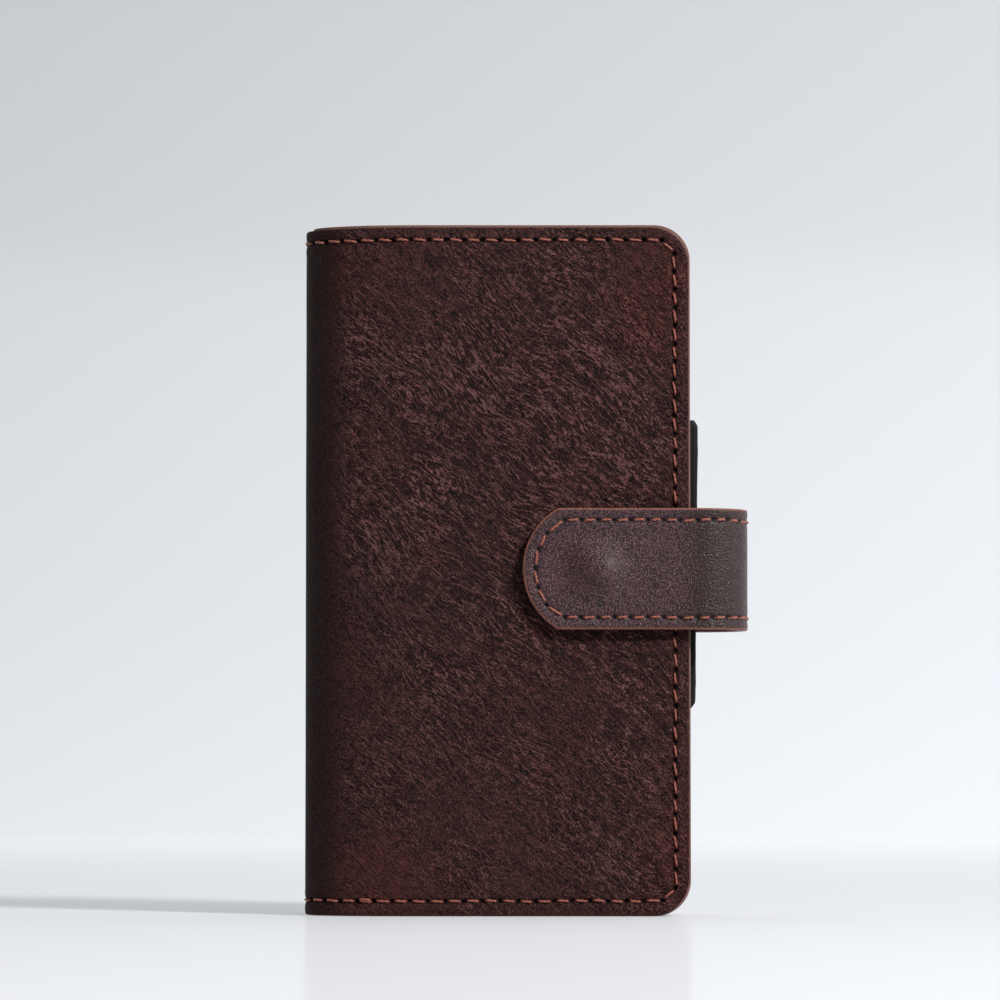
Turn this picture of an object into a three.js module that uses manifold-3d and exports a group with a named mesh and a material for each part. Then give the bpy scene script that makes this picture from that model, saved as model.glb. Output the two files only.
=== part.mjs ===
// Phone wallet case: a bifold leather cover with a moulded phone holder, card pockets and a
// magnetic strap that wraps round the fore-edge.  Millimetres, +Z up, front face towards -Y.
//
// The parts are drawn in a case frame: x runs from the spine's outer face to the fore-edge,
// y from the front leather's face to the back leather's face, z from the bottom edge up.
// The exported group shifts that frame so that the origin is the bottom centre of the whole.

import * as THREE from 'three';
import * as BufferGeometryUtils from 'three/addons/utils/BufferGeometryUtils.js';
import Module from 'manifold-3d';

const wasm = await Module();
wasm.setup();

// ---------------------------------------------------------------- driving dimensions

const CASE_WIDTH = 86;
const CASE_HEIGHT = 154;
const CORNER_RADIUS = 8;
const GAP = 0.3;                    // clearance left between neighbouring layers

const COVER_LEATHER = 1.6;
const BOARD = 0.6;
const LINING = 0.6;
const POCKET_LEATHER = 0.6;
const POCKET_COUNT = 3;
const POCKET_TOP = 118;             // mouth of the rearmost card pocket
const POCKET_DROP = 13;             // each pocket's mouth is this much lower than the last
const LINING_INSET = 0.4;           // linings stop this short of the leather's cut edge

const PHONE_WIDTH = 71.5;
const PHONE_HEIGHT = 146.8;
const PHONE_THICKNESS = 7.9;
const PHONE_LEFT = 14.2;            // x of the phone's spine-side edge
const PHONE_BOTTOM = 3.6;
const PHONE_PLAY = 0.1;             // room round the phone in its holder

const GRIP_WALL = 2.2;              // the side grips stand out past the covers
const CLIP_WALL = 1.6;
const HOLDER_FLOOR = 1.0;
const HOLDER_LIP = 0.8;
const HOLDER_LIP_REACH = 1.1;
const HOLDER_CORNER = 9;
const GRIP_HEIGHT = 64.5;
const GRIP_RISE = 1.5;              // the side grips' middle above the phone's
const CLIP_WIDTH = 15;
const CLIP_OFFSET = 21;             // from the phone's middle to a clip's middle
const PAD_THICKNESS = 0.6;

const BACK_BOARD = 1.0;
const STRAP_LEATHER = 1.2;
const STRAP_LINING = 0.8;
const STRAP_WIDTH = 27;
const STRAP_REACH = 13;             // how far the strap stands off the fore-edge
const STRAP_BEND = 11;              // outer radius of its two bends
const STRAP_ROOT = 25;              // length sewn in between the back cover's layers
const TAB_LENGTH = 37.4;            // how much of the front cover the tab crosses
const TIP_RADIUS = 15.5;

const MAGNET_RADIUS = 5.5;
const TAB_MAGNET = 1.2;
const COVER_MAGNET = 1.1;
const MAGNET_X = 65;
const MAGNET_BUMP = 1.1;            // how far the tab's leather rises over its magnet
const MAGNET_BUMP_RADIUS = 8.5;

const SEAM_INSET = 3.4;             // stitch line to the cover's cut edge
const STRAP_SEAM_INSET = 2.7;
const THREAD_WIDTH = 0.8;
const THREAD_HEIGHT = 0.4;

const WINDOW_SIZE = 32;             // camera window in the back cover
const WINDOW_RADIUS = 9;
const WINDOW_RIGHT = 79.5;
const WINDOW_TOP = 145;

// the soft bend at the spine: where each cover turns flat, and where its fold line lies
const FRONT_BEND = { reach: 26, fold: 0.4 };
const BACK_BEND = { reach: 14, fold: 0.45 };
const BEND_PULL = 5;                // how square the bend's middle is

// ---------------------------------------------------------------- the stack of layers

const frontBoardY = COVER_LEATHER + GAP;
const frontLiningY = frontBoardY + BOARD + GAP;
const cashPanelY = frontLiningY + LINING + GAP;
const firstPocketY = cashPanelY + POCKET_LEATHER + GAP;
const pocketStep = POCKET_LEATHER + GAP;
const lipY = firstPocketY + POCKET_COUNT * pocketStep + 0.1;
const phoneY = lipY + HOLDER_LIP;
const holderFloorY = phoneY + PHONE_THICKNESS;
const padY = holderFloorY + HOLDER_FLOOR + GAP;
const backLiningY = padY + PAD_THICKNESS + GAP;
const strapRootY = backLiningY + LINING + GAP;
const backLeatherY = strapRootY + STRAP_LEATHER + GAP;
const CASE_DEPTH = backLeatherY + COVER_LEATHER;

const strapMiddleZ = CASE_HEIGHT / 2;
const strapOuterX = CASE_WIDTH + STRAP_REACH;
const strapRootOuterY = strapRootY + STRAP_LEATHER;
const tabOuterY = -(GAP + STRAP_LINING + GAP + STRAP_LEATHER);
const phoneMiddleX = PHONE_LEFT + PHONE_WIDTH / 2;
const phoneMiddleZ = PHONE_BOTTOM + PHONE_HEIGHT / 2;

// ---------------------------------------------------------------- solids

const CURVE_STEPS = 8;
const DISC_SIDES = 24;

function toSolid(geometry) {
  const bare = geometry.index ? geometry.toNonIndexed() : geometry.clone();
  bare.deleteAttribute('normal');
  bare.deleteAttribute('uv');
  const merged = BufferGeometryUtils.mergeVertices(bare, 1e-4);
  const vertProperties = new Float32Array(merged.attributes.position.array);
  const triVerts = new Uint32Array(merged.index.array);
  return new wasm.Manifold(new wasm.Mesh({ numProp: 3, vertProperties, triVerts }));
}

function toGeometry(solid) {
  const mesh = solid.getMesh();
  const geometry = new THREE.BufferGeometry();
  geometry.setAttribute('position', new THREE.BufferAttribute(mesh.vertProperties, 3));
  geometry.setIndex(new THREE.BufferAttribute(mesh.triVerts, 1));
  geometry.computeVertexNormals();
  return geometry;
}

// a plan outline in (x, y), raised from z0 to z1
function upright(points, z0 = 0, z1 = CASE_HEIGHT) {
  const shape = new THREE.Shape(points);
  const geometry = new THREE.ExtrudeGeometry(shape, { depth: z1 - z0, bevelEnabled: false });
  return toSolid(geometry.translate(0, 0, z0));
}

// a face outline in (x, z), carried from depth y0 to y1
function plate(shape, y0, y1) {
  const options = { depth: y1 - y0, bevelEnabled: false, curveSegments: CURVE_STEPS };
  const geometry = new THREE.ExtrudeGeometry(shape, options);
  return toSolid(geometry.rotateX(Math.PI / 2).translate(0, y1, 0));
}

function block(x0, x1, y0, y1, z0, z1) {
  const geometry = new THREE.BoxGeometry(x1 - x0, y1 - y0, z1 - z0);
  return toSolid(geometry.translate((x0 + x1) / 2, (y0 + y1) / 2, (z0 + z1) / 2));
}

// a round disc lying in the plane of the covers
function disc(x, z, radius, y0, y1) {
  const geometry = new THREE.CylinderGeometry(radius, radius, y1 - y0, DISC_SIDES);
  return toSolid(geometry.translate(x, (y0 + y1) / 2, z));
}

function rectangle(x0, x1, z0, z1, radius = 0) {
  const shape = new THREE.Shape();
  if (radius === 0) {
    shape.setFromPoints([
      new THREE.Vector2(x0, z0), new THREE.Vector2(x1, z0),
      new THREE.Vector2(x1, z1), new THREE.Vector2(x0, z1),
    ]);
    return shape;
  }
  shape.moveTo(x0 + radius, z0);
  shape.lineTo(x1 - radius, z0);
  shape.absarc(x1 - radius, z0 + radius, radius, -Math.PI / 2, 0);
  shape.lineTo(x1, z1 - radius);
  shape.absarc(x1 - radius, z1 - radius, radius, 0, Math.PI / 2);
  shape.lineTo(x0 + radius, z1);
  shape.absarc(x0 + radius, z1 - radius, radius, Math.PI / 2, Math.PI);
  shape.lineTo(x0, z0 + radius);
  shape.absarc(x0 + radius, z0 + radius, radius, Math.PI, Math.PI * 1.5);
  return shape;
}

// the cover's outline: square at the left, rounded at the fore-edge
function coverOutline(inset, left = -2) {
  const radius = CORNER_RADIUS - inset;
  const right = CASE_WIDTH - inset;
  const top = CASE_HEIGHT - inset;
  const shape = new THREE.Shape();
  shape.moveTo(left, inset);
  shape.lineTo(right - radius, inset);
  shape.absarc(right - radius, inset + radius, radius, -Math.PI / 2, 0);
  shape.lineTo(right, top - radius);
  shape.absarc(right - radius, top - radius, radius, 0, Math.PI / 2);
  shape.lineTo(left, top);
  return shape;
}

// ---------------------------------------------------------------- the bend at the spine

// half of the bend as a Bezier: from the spine's outermost line to where the cover is flat
function bendCurve({ reach }, back) {
  const middle = CASE_DEPTH / 2;
  const face = back ? CASE_DEPTH : 0;
  const pull = back ? BEND_PULL : -BEND_PULL;
  return new THREE.CubicBezierCurve(
    new THREE.Vector2(0, middle), new THREE.Vector2(0, middle + pull),
    new THREE.Vector2(reach / 3, face), new THREE.Vector2(reach, face),
  );
}

const frontCurve = bendCurve(FRONT_BEND, false);
const backCurve = bendCurve(BACK_BEND, true);

// points on the bend at a depth below the leather's face, between two curve parameters
function bendPoints(curve, depth, from, to, steps) {
  const inwards = curve === backCurve ? -1 : 1;
  const points = [];
  for (let i = 0; i <= steps; i += 1) {
    const t = from + (to - from) * i / steps;
    const tangent = curve.getTangent(t);
    const normal = new THREE.Vector2(-tangent.y, tangent.x).multiplyScalar(inwards * depth);
    points.push(curve.getPoint(t).add(normal));
  }
  return points;
}

// curve parameter that lies half a gap past the fold line, on the cover's or the spine's side
function besideFold(curve, fold, side) {
  const probe = 0.01;
  const speed = curve.getPoint(fold).distanceTo(curve.getPoint(fold + probe)) / probe;
  return fold + side * (GAP / 2) / speed;
}

// a layer of a cover from the fold line to the fore-edge, between two depths
function coverLayer(curve, { fold }, d0, d1) {
  const start = besideFold(curve, fold, 1);
  const face = curve === backCurve ? CASE_DEPTH : 0;
  const inwards = curve === backCurve ? -1 : 1;
  const outer = bendPoints(curve, d0, start, 1, CURVE_STEPS);
  const inner = bendPoints(curve, d1, start, 1, CURVE_STEPS).reverse();
  const edge = CASE_WIDTH + 2;
  const end = [
    new THREE.Vector2(edge, face + inwards * d0),
    new THREE.Vector2(edge, face + inwards * d1),
  ];
  const outline = [...outer, ...end, ...inner];
  return upright(curve === backCurve ? outline.reverse() : outline);
}

// a layer of the spine between the two fold lines
function spineLayer(d0, d1) {
  const frontEnd = besideFold(frontCurve, FRONT_BEND.fold, -1);
  const backEnd = besideFold(backCurve, BACK_BEND.fold, -1);
  const steps = CURVE_STEPS / 2;
  const side = (depth) => [
    ...bendPoints(frontCurve, depth, frontEnd, 0, steps),
    ...bendPoints(backCurve, depth, 0, backEnd, steps).slice(1),
  ];
  return upright([...side(d1), ...side(d0).reverse()]);
}

// ---------------------------------------------------------------- seams

// a stitch line's track round the cover: the band between two insets
function coverTrack(width, y0, y1) {
  const outside = plate(coverOutline(SEAM_INSET - width / 2), y0, y1);
  const inside = plate(coverOutline(SEAM_INSET + width / 2, -3), y0 - 1, y1 + 1);
  return outside.subtract(inside);
}

const GROOVE_WIDTH = THREAD_WIDTH + 2 * GAP;
const GROOVE_DEPTH = THREAD_HEIGHT + GAP;

function seamOn(layer, track) {
  return {
    thread: layer(0, THREAD_HEIGHT).intersect(track(THREAD_WIDTH)),
    groove: layer(-0.2, GROOVE_DEPTH).intersect(track(GROOVE_WIDTH)),
  };
}

const throughCase = (width) => coverTrack(width, -1, CASE_DEPTH + 1);
const frontSeam = seamOn((a, b) => coverLayer(frontCurve, FRONT_BEND, a, b), throughCase);
const spineSeam = seamOn(spineLayer, throughCase);
const backSeam = seamOn((a, b) => coverLayer(backCurve, BACK_BEND, a, b), throughCase);

const upperHalf = () => block(-5, 120, -10, 40, CASE_HEIGHT / 2, CASE_HEIGHT + 5);
const lowerHalf = () => block(-5, 120, -10, 40, -5, CASE_HEIGHT / 2);

// ---------------------------------------------------------------- front cover

function frontCoverLeather() {
  const recess = COVER_LEATHER + GAP + BOARD - COVER_MAGNET - GAP;
  return coverLayer(frontCurve, FRONT_BEND, 0, COVER_LEATHER)
    .intersect(plate(coverOutline(0), -1, CASE_DEPTH))
    .subtract(frontSeam.groove)
    .subtract(disc(MAGNET_X, strapMiddleZ, MAGNET_RADIUS + GAP, recess, COVER_LEATHER + 1));
}

function frontCoverBoard() {
  const inset = SEAM_INSET + THREAD_WIDTH + GAP;
  const outline = rectangle(FRONT_BEND.reach + 1, CASE_WIDTH - inset, inset, CASE_HEIGHT - inset, 3);
  return plate(outline, frontBoardY, frontBoardY + BOARD)
    .subtract(disc(MAGNET_X, strapMiddleZ, MAGNET_RADIUS + GAP, 0, frontLiningY));
}

function coverMagnet() {
  const end = frontBoardY + BOARD;
  return disc(MAGNET_X, strapMiddleZ, MAGNET_RADIUS, end - COVER_MAGNET, end);
}

function frontCoverLining() {
  return coverLayer(frontCurve, FRONT_BEND, frontLiningY, frontLiningY + LINING)
    .intersect(plate(coverOutline(LINING_INSET), -1, CASE_DEPTH));
}

function pocketPanel(y, top) {
  const left = FRONT_BEND.reach;
  const outline = coverOutline(LINING_INSET, left);
  const cut = block(left - 1, CASE_WIDTH + 1, y - 1, y + POCKET_LEATHER + 1, top, CASE_HEIGHT + 1);
  const panel = plate(outline, y, y + POCKET_LEATHER);
  return top < CASE_HEIGHT ? panel.subtract(cut) : panel;
}

function cardPocket(index) {
  return pocketPanel(firstPocketY + index * pocketStep, POCKET_TOP - index * POCKET_DROP);
}

// ---------------------------------------------------------------- spine

function spineLeather() {
  return spineLayer(0, COVER_LEATHER).subtract(spineSeam.groove);
}

function spineLining() {
  const trim = block(-1, 20, 0, CASE_DEPTH, LINING_INSET, CASE_HEIGHT - LINING_INSET);
  return spineLayer(COVER_LEATHER + GAP, COVER_LEATHER + GAP + LINING).intersect(trim);
}

// ---------------------------------------------------------------- back cover

function cameraWindow(margin = 0) {
  const left = WINDOW_RIGHT - WINDOW_SIZE - margin;
  const bottom = WINDOW_TOP - WINDOW_SIZE - margin;
  const outline = rectangle(
    left, WINDOW_RIGHT + margin, bottom, WINDOW_TOP + margin, WINDOW_RADIUS + margin,
  );
  return plate(outline, phoneY, CASE_DEPTH + 1);
}

function backCoverLeather() {
  return coverLayer(backCurve, BACK_BEND, 0, COVER_LEATHER)
    .intersect(plate(coverOutline(0), 0, CASE_DEPTH + 1))
    .subtract(backSeam.groove)
    .subtract(cameraWindow());
}

const strapBottomZ = strapMiddleZ - STRAP_WIDTH / 2;
const strapTopZ = strapMiddleZ + STRAP_WIDTH / 2;

function backCoverBoard() {
  const inset = SEAM_INSET + THREAD_WIDTH + GAP;
  const outline = rectangle(BACK_BEND.reach + 1, CASE_WIDTH - inset, inset, CASE_HEIGHT - inset, 3);
  const rootX = CASE_WIDTH - STRAP_ROOT - GAP;
  return plate(outline, strapRootY, strapRootY + BACK_BOARD)
    .subtract(block(rootX, CASE_WIDTH, 0, CASE_DEPTH, strapBottomZ - GAP, strapTopZ + GAP))
    .subtract(cameraWindow(1));
}

function backCoverLining() {
  const depth = CASE_DEPTH - backLiningY;
  return coverLayer(backCurve, BACK_BEND, depth - LINING, depth)
    .intersect(plate(coverOutline(LINING_INSET), -1, CASE_DEPTH))
    .subtract(cameraWindow());
}

const span = (a, b) => [Math.min(a, b), Math.max(a, b)];

// one channel of the holder: a wall past the phone's edge, a lip over its glass and a root in
// the floor; place() turns (across, depth, along) ranges into a block
function holderChannel(edge, outwards, thickness, place) {
  const face = edge + outwards * PHONE_PLAY;
  const outside = face + outwards * thickness;
  const rear = holderFloorY + HOLDER_FLOOR;
  const root = 0.5;                 // how far the wall's foot runs into the floor
  const wall = place(span(face, outside), [lipY, rear]);
  const lipEnd = face - outwards * HOLDER_LIP_REACH;
  const lip = place(span(lipEnd, outside), [lipY, lipY + HOLDER_LIP - PHONE_PLAY]);
  const foot = place(span(face - outwards * root, outside), [holderFloorY, rear]);
  return wall.add(lip).add(foot);
}

// the moulded holder: a thin floor, a channel grip at each side and two clips at each end
function phoneHolder() {
  const right = PHONE_LEFT + PHONE_WIDTH;
  const top = PHONE_BOTTOM + PHONE_HEIGHT;
  const rear = holderFloorY + HOLDER_FLOOR;
  const gripZ = phoneMiddleZ + GRIP_RISE - GRIP_HEIGHT / 2;
  const outline = rectangle(PHONE_LEFT, right, PHONE_BOTTOM, top, HOLDER_CORNER);
  let holder = plate(outline, holderFloorY, rear);
  for (const side of [-1, 1]) {
    const edge = phoneMiddleX + side * PHONE_WIDTH / 2;
    const grip = (across, depth) => block(...across, ...depth, gripZ, gripZ + GRIP_HEIGHT);
    holder = holder.add(holderChannel(edge, side, GRIP_WALL, grip));
  }
  for (const end of [-1, 1]) {
    const edge = phoneMiddleZ + end * PHONE_HEIGHT / 2;
    for (const side of [-1, 1]) {
      const clipX = phoneMiddleX + side * CLIP_OFFSET - CLIP_WIDTH / 2;
      const clip = (across, depth) => block(clipX, clipX + CLIP_WIDTH, ...depth, ...across);
      holder = holder.add(holderChannel(edge, end, CLIP_WALL, clip));
    }
  }
  return holder.subtract(cameraWindow());
}

function holderAdhesivePad() {
  const outline = rectangle(PHONE_LEFT + 10, PHONE_LEFT + PHONE_WIDTH - 6, 12, 104, 4);
  return plate(outline, padY, padY + PAD_THICKNESS);
}

// ---------------------------------------------------------------- strap

// the strap's course in plan, as its outer face: along the back, round the side, over the front
const bendX = strapOuterX - STRAP_BEND;
const rearBendY = strapRootOuterY - STRAP_BEND;
const frontBendY = tabOuterY + STRAP_BEND;
const HALF_TURN = Math.PI / 4;      // each bend is split at its middle, on the fold line

function arcPoints(centreY, depth, from, to, steps = 5) {
  const points = [];
  for (let i = 0; i <= steps; i += 1) {
    const angle = from + (to - from) * i / steps;
    const radius = STRAP_BEND - depth;
    points.push(new THREE.Vector2(
      bendX + radius * Math.cos(angle), centreY + radius * Math.sin(angle),
    ));
  }
  return points;
}

const foldShift = (GAP / 2) / STRAP_BEND;

function rootLayer(d0, d1, fromX) {
  const face = (depth) => [
    new THREE.Vector2(fromX, strapRootOuterY - depth),
    ...arcPoints(rearBendY, depth, Math.PI / 2, HALF_TURN + foldShift),
  ];
  return upright([...face(d1), ...face(d0).reverse()], strapBottomZ, strapTopZ);
}

function sideLayer(d0, d1) {
  const face = (depth) => [
    ...arcPoints(rearBendY, depth, HALF_TURN - foldShift, 0),
    ...arcPoints(frontBendY, depth, 0, -HALF_TURN + foldShift),
  ];
  return upright([...face(d0).reverse(), ...face(d1)], strapBottomZ, strapTopZ);
}

const tipX = CASE_WIDTH - TAB_LENGTH;

function tabLayer(d0, d1) {
  const face = (depth) => [
    new THREE.Vector2(tipX - 1, tabOuterY + depth),
    ...arcPoints(frontBendY, depth, -Math.PI / 2, -HALF_TURN - foldShift),
  ];
  return upright([...face(d0), ...face(d1).reverse()], strapBottomZ, strapTopZ);
}

// the tab's face outline: straight sides and a tip cut to one arc
function tabOutline(inset, right) {
  const radius = TIP_RADIUS - inset;
  const halfWidth = STRAP_WIDTH / 2 - inset;
  const opening = Math.asin(halfWidth / radius);
  const shape = new THREE.Shape();
  shape.moveTo(right, strapMiddleZ - halfWidth);
  shape.lineTo(right, strapMiddleZ + halfWidth);
  shape.absarc(tipX + TIP_RADIUS, strapMiddleZ, radius, Math.PI - opening, Math.PI + opening);
  return shape;
}

function tabTrack(width) {
  const edge = STRAP_SEAM_INSET;
  const outside = plate(tabOutline(edge - width / 2, strapOuterX + 1), -8, 8);
  const inside = plate(tabOutline(edge + width / 2, strapOuterX + 2), -9, 9);
  return outside.subtract(inside);
}

function sideTrack(width) {
  const line = (z) => block(0, 120, -8, 30, z - width / 2, z + width / 2);
  return line(strapBottomZ + STRAP_SEAM_INSET).add(line(strapTopZ - STRAP_SEAM_INSET));
}

const tabSeam = seamOn(tabLayer, tabTrack);
const sideSeam = seamOn(sideLayer, sideTrack);

// the low dome that the leather makes over the magnet
function magnetDome() {
  const profile = [new THREE.Vector2(0, -0.4)];
  profile.push(new THREE.Vector2(MAGNET_BUMP_RADIUS, -0.4));
  for (let i = 0; i <= 6; i += 1) {
    const share = i / 6;
    const radius = MAGNET_BUMP_RADIUS * (1 - share * 0.5);
    profile.push(new THREE.Vector2(radius, MAGNET_BUMP * (1 - Math.cos(share * Math.PI)) / 2));
  }
  profile.push(new THREE.Vector2(0, MAGNET_BUMP));
  const geometry = new THREE.LatheGeometry(profile, DISC_SIDES);
  return toSolid(geometry.rotateX(Math.PI).translate(MAGNET_X, tabOuterY, strapMiddleZ));
}

const tabInnerY = -GAP - STRAP_LINING;

function strapTabLeather() {
  const seat = disc(
    MAGNET_X, strapMiddleZ, MAGNET_RADIUS + GAP,
    tabOuterY + STRAP_LEATHER - TAB_MAGNET - GAP, tabInnerY,
  );
  return tabLayer(0, STRAP_LEATHER)
    .intersect(plate(tabOutline(0, strapOuterX + 1), -8, 8))
    .add(magnetDome())
    .subtract(tabSeam.groove)
    .subtract(seat);
}

function strapTabLining() {
  const start = STRAP_LEATHER + GAP;
  return tabLayer(start, start + STRAP_LINING)
    .intersect(plate(tabOutline(0.2, strapOuterX + 1), -8, 8));
}

function strapMagnet() {
  const end = tabOuterY + STRAP_LEATHER;
  return disc(MAGNET_X, strapMiddleZ, MAGNET_RADIUS, end - TAB_MAGNET, end);
}

// ---------------------------------------------------------------- the assembly

const LEATHER = { color: 0x4a2a26, roughness: 0.45 };
const STRAP = { color: 0x523236, roughness: 0.4 };
const CUT_EDGE = { color: 0x6b4138, roughness: 0.6 };
const SUEDE = { color: 0x2b2322, roughness: 0.9 };
const THREAD = { color: 0x9a4a34, roughness: 0.7 };
const CARDBOARD = { color: 0x8a8178, roughness: 0.95 };
const STEEL = { color: 0xb9bcc0, roughness: 0.3, metalness: 1 };
const SOFT_BLACK = { color: 0x101113, roughness: 0.55 };
const ADHESIVE = { color: 0xd8d4c8, roughness: 0.8 };

const phoneWalletCase = new THREE.Group();
phoneWalletCase.position.set(
  -strapOuterX / 2, -(CASE_DEPTH + tabOuterY - MAGNET_BUMP) / 2, 0,
);

function addPart(name, solid, look) {
  const material = new THREE.MeshStandardMaterial({ metalness: 0, ...look });
  const mesh = new THREE.Mesh(toGeometry(solid), material);
  mesh.name = name;
  phoneWalletCase.add(mesh);
}

addPart('front_cover_leather', frontCoverLeather(), LEATHER);
addPart('front_cover_board', frontCoverBoard(), CARDBOARD);
addPart('front_cover_lining', frontCoverLining(), SUEDE);
addPart('cash_pocket_panel', pocketPanel(cashPanelY, CASE_HEIGHT), CUT_EDGE);
['rear', 'middle', 'front'].forEach((place, index) => {
  addPart(`card_pocket_${place}`, cardPocket(index), LEATHER);
});
addPart('cover_magnet', coverMagnet(), STEEL);
addPart('front_seam_thread', frontSeam.thread, THREAD);

addPart('spine_leather', spineLeather(), LEATHER);
addPart('spine_lining', spineLining(), SUEDE);
addPart('spine_thread_top', spineSeam.thread.intersect(upperHalf()), THREAD);
addPart('spine_thread_bottom', spineSeam.thread.intersect(lowerHalf()), THREAD);

addPart('back_cover_leather', backCoverLeather(), LEATHER);
addPart('back_cover_board', backCoverBoard(), CARDBOARD);
addPart('back_cover_lining', backCoverLining(), SUEDE);
addPart('back_seam_thread', backSeam.thread, THREAD);
addPart('phone_holder', phoneHolder(), SOFT_BLACK);
addPart('holder_adhesive_pad', holderAdhesivePad(), ADHESIVE);
addPart('strap_root_leather', rootLayer(0, STRAP_LEATHER, CASE_WIDTH - STRAP_ROOT), STRAP);

const liningDepth = STRAP_LEATHER + GAP;
const rootLining = rootLayer(liningDepth, liningDepth + STRAP_LINING, CASE_WIDTH + GAP);
addPart('strap_root_lining', rootLining, SUEDE);

const sideLeather = sideLayer(0, STRAP_LEATHER).subtract(sideSeam.groove);
addPart('strap_side_leather', sideLeather, STRAP);
addPart('strap_side_lining', sideLayer(liningDepth, liningDepth + STRAP_LINING), SUEDE);
addPart('strap_side_thread_top', sideSeam.thread.intersect(upperHalf()), THREAD);
addPart('strap_side_thread_bottom', sideSeam.thread.intersect(lowerHalf()), THREAD);

addPart('strap_tab_leather', strapTabLeather(), STRAP);
addPart('strap_tab_lining', strapTabLining(), SUEDE);
addPart('strap_tab_thread', tabSeam.thread, THREAD);
addPart('strap_magnet', strapMagnet(), STEEL);

export default phoneWalletCase;
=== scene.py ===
import math
import bmesh
import bpy
import numpy as np
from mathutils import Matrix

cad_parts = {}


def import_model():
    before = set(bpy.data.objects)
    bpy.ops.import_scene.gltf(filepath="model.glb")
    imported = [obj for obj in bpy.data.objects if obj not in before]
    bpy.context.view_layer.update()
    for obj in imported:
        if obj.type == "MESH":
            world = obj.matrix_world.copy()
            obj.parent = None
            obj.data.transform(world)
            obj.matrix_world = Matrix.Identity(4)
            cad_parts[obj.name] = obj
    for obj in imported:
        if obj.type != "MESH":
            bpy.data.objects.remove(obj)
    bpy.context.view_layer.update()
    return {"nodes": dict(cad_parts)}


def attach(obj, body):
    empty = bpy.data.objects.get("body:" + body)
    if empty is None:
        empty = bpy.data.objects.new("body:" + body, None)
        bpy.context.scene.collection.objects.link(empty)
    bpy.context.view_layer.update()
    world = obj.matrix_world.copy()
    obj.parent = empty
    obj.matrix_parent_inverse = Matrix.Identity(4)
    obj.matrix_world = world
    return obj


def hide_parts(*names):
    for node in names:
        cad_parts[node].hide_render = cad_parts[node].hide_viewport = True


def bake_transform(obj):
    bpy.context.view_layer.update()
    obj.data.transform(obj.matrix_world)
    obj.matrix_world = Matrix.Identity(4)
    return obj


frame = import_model()

# ------------------------------------------------------------------ dimensions, in millimetres
# The case frame: x from the spine's outer face to the fore-edge, y from the front leather's face
# to the back leather's face, z up from the bottom edge.  s is the length along a sheet's face.

MM = 0.001
ORIGIN_X = 49.5
ORIGIN_Y = 9.3

CASE_WIDTH = 86.0
CASE_HEIGHT = 154.0
CORNER = 8.0
LEATHER = 1.6
SEAM_INSET = 3.4
SEAM_TURN = 6.4                # where the seam starts to cut the corner
STITCH = 4.03

STRAP_MIDDLE = 77.0
STRAP_HALF = 13.5
STRAP_BEND = 11.0
STRAP_OUTER_X = 99.0
STRAP_ROOT_Y = 20.4
TAB_Y = -2.6
STRAP_SEAM_INSET = 2.7
TIP_X = 48.6
TIP_RADIUS = 15.5
MAGNET_X = 65.0

FRONT_BEZIER = ((0, 11.15), (0, 6.15), (8.667, 0), (26, 0))
BACK_BEZIER = ((0, 11.15), (0, 16.15), (4.667, 22.3), (14, 22.3))

QUICK = 1.0
CUT = (0.12, 0.55, 0.35)        # how far inside the outline the leather is cut: bottom, top, side
ROUND = 0.55                    # how round the leather's cut edge is
FOLD_HEIGHT = 0.17
INTERIOR = 9.0                  # "edge" value of the points that lie on no cut edge

WINDOW = (47.5, 79.5, 113.0, 145.0)
WINDOW_RADIUS = 9.0

LINING_PROUD = (0.0, 0.08, 0.03)  # how far the lining's edge stands past: -, top and bottom, side
LINING_SKIN = 1.62              # the lining starts this deep, against the leather
FRONT_LINING = ((2.5, 3.4), (12, 25))  # (depth at the bend, on the flat), (x it changes over)
BACK_LINING = ((2.5, 4.0), (8, 14))

# each pocket sheet: piece, node, y of its face, z of its mouth
POCKETS = (
    ("cash_panel", "cash_pocket_panel", 4.3, 154.0),
    ("card_slot_rear", "card_pocket_rear", 5.2, 118.0),
    ("card_slot_middle", "card_pocket_middle", 6.1, 105.0),
    ("card_slot_front", "card_pocket_front", 7.0, 92.0),
)
POCKET_LEFT = 26.0
POCKET_THICK = 0.6

PHONE_LEFT = 14.2
PHONE_RIGHT = 85.7
PHONE_BOTTOM = 3.6
PHONE_TOP = 150.4
LIP_Y = 7.4
HOLDER_BACK_Y = 17.1
GRIP_LOW = 46.25
GRIP_HIGH = 110.75
GRIP_WALL = 2.2
CLIP_WALL = 1.6
CLIP_WIDTH = 15.0
CLIP_OFFSET = 21.0
PHONE_PLAY = 0.1
CREASE_WAY = -48                # which way the hide's grain runs, in degrees

# where each soft sheet turns between two bodies: (body, body, start, end) in case x, y
FRONT_ZONE = ("spine", "front_cover", (0.6, 10.4), (13.0, -0.6))
BACK_ZONE = ("spine", "back_cover", (0.6, 12.2), (9.5, 22.8))
SWING_ZONE = ("back_cover", "strap_side", (88.0, 20.4), (99.0, 9.4))
LIFT_ZONE = ("strap_side", "strap_tab", (99.0, 8.4), (88.0, -2.6))


def world(x, y, z):
    """Case millimetres to the frame's metres."""
    x, y, z = np.broadcast_arrays(x, y, z)
    return np.stack([x - ORIGIN_X, y - ORIGIN_Y, z], axis=-1) * MM


def smooth(value, low, high):
    share = np.clip((value - low) / (high - low), 0.0, 1.0)
    return share * share * (3.0 - 2.0 * share)


def add_object(name, data, place=(0, 0, 0), turn=(0, 0, 0)):
    obj = bpy.data.objects.new(name, data)
    bpy.context.scene.collection.objects.link(obj)
    obj.location = place
    obj.rotation_euler = turn
    return obj


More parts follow.
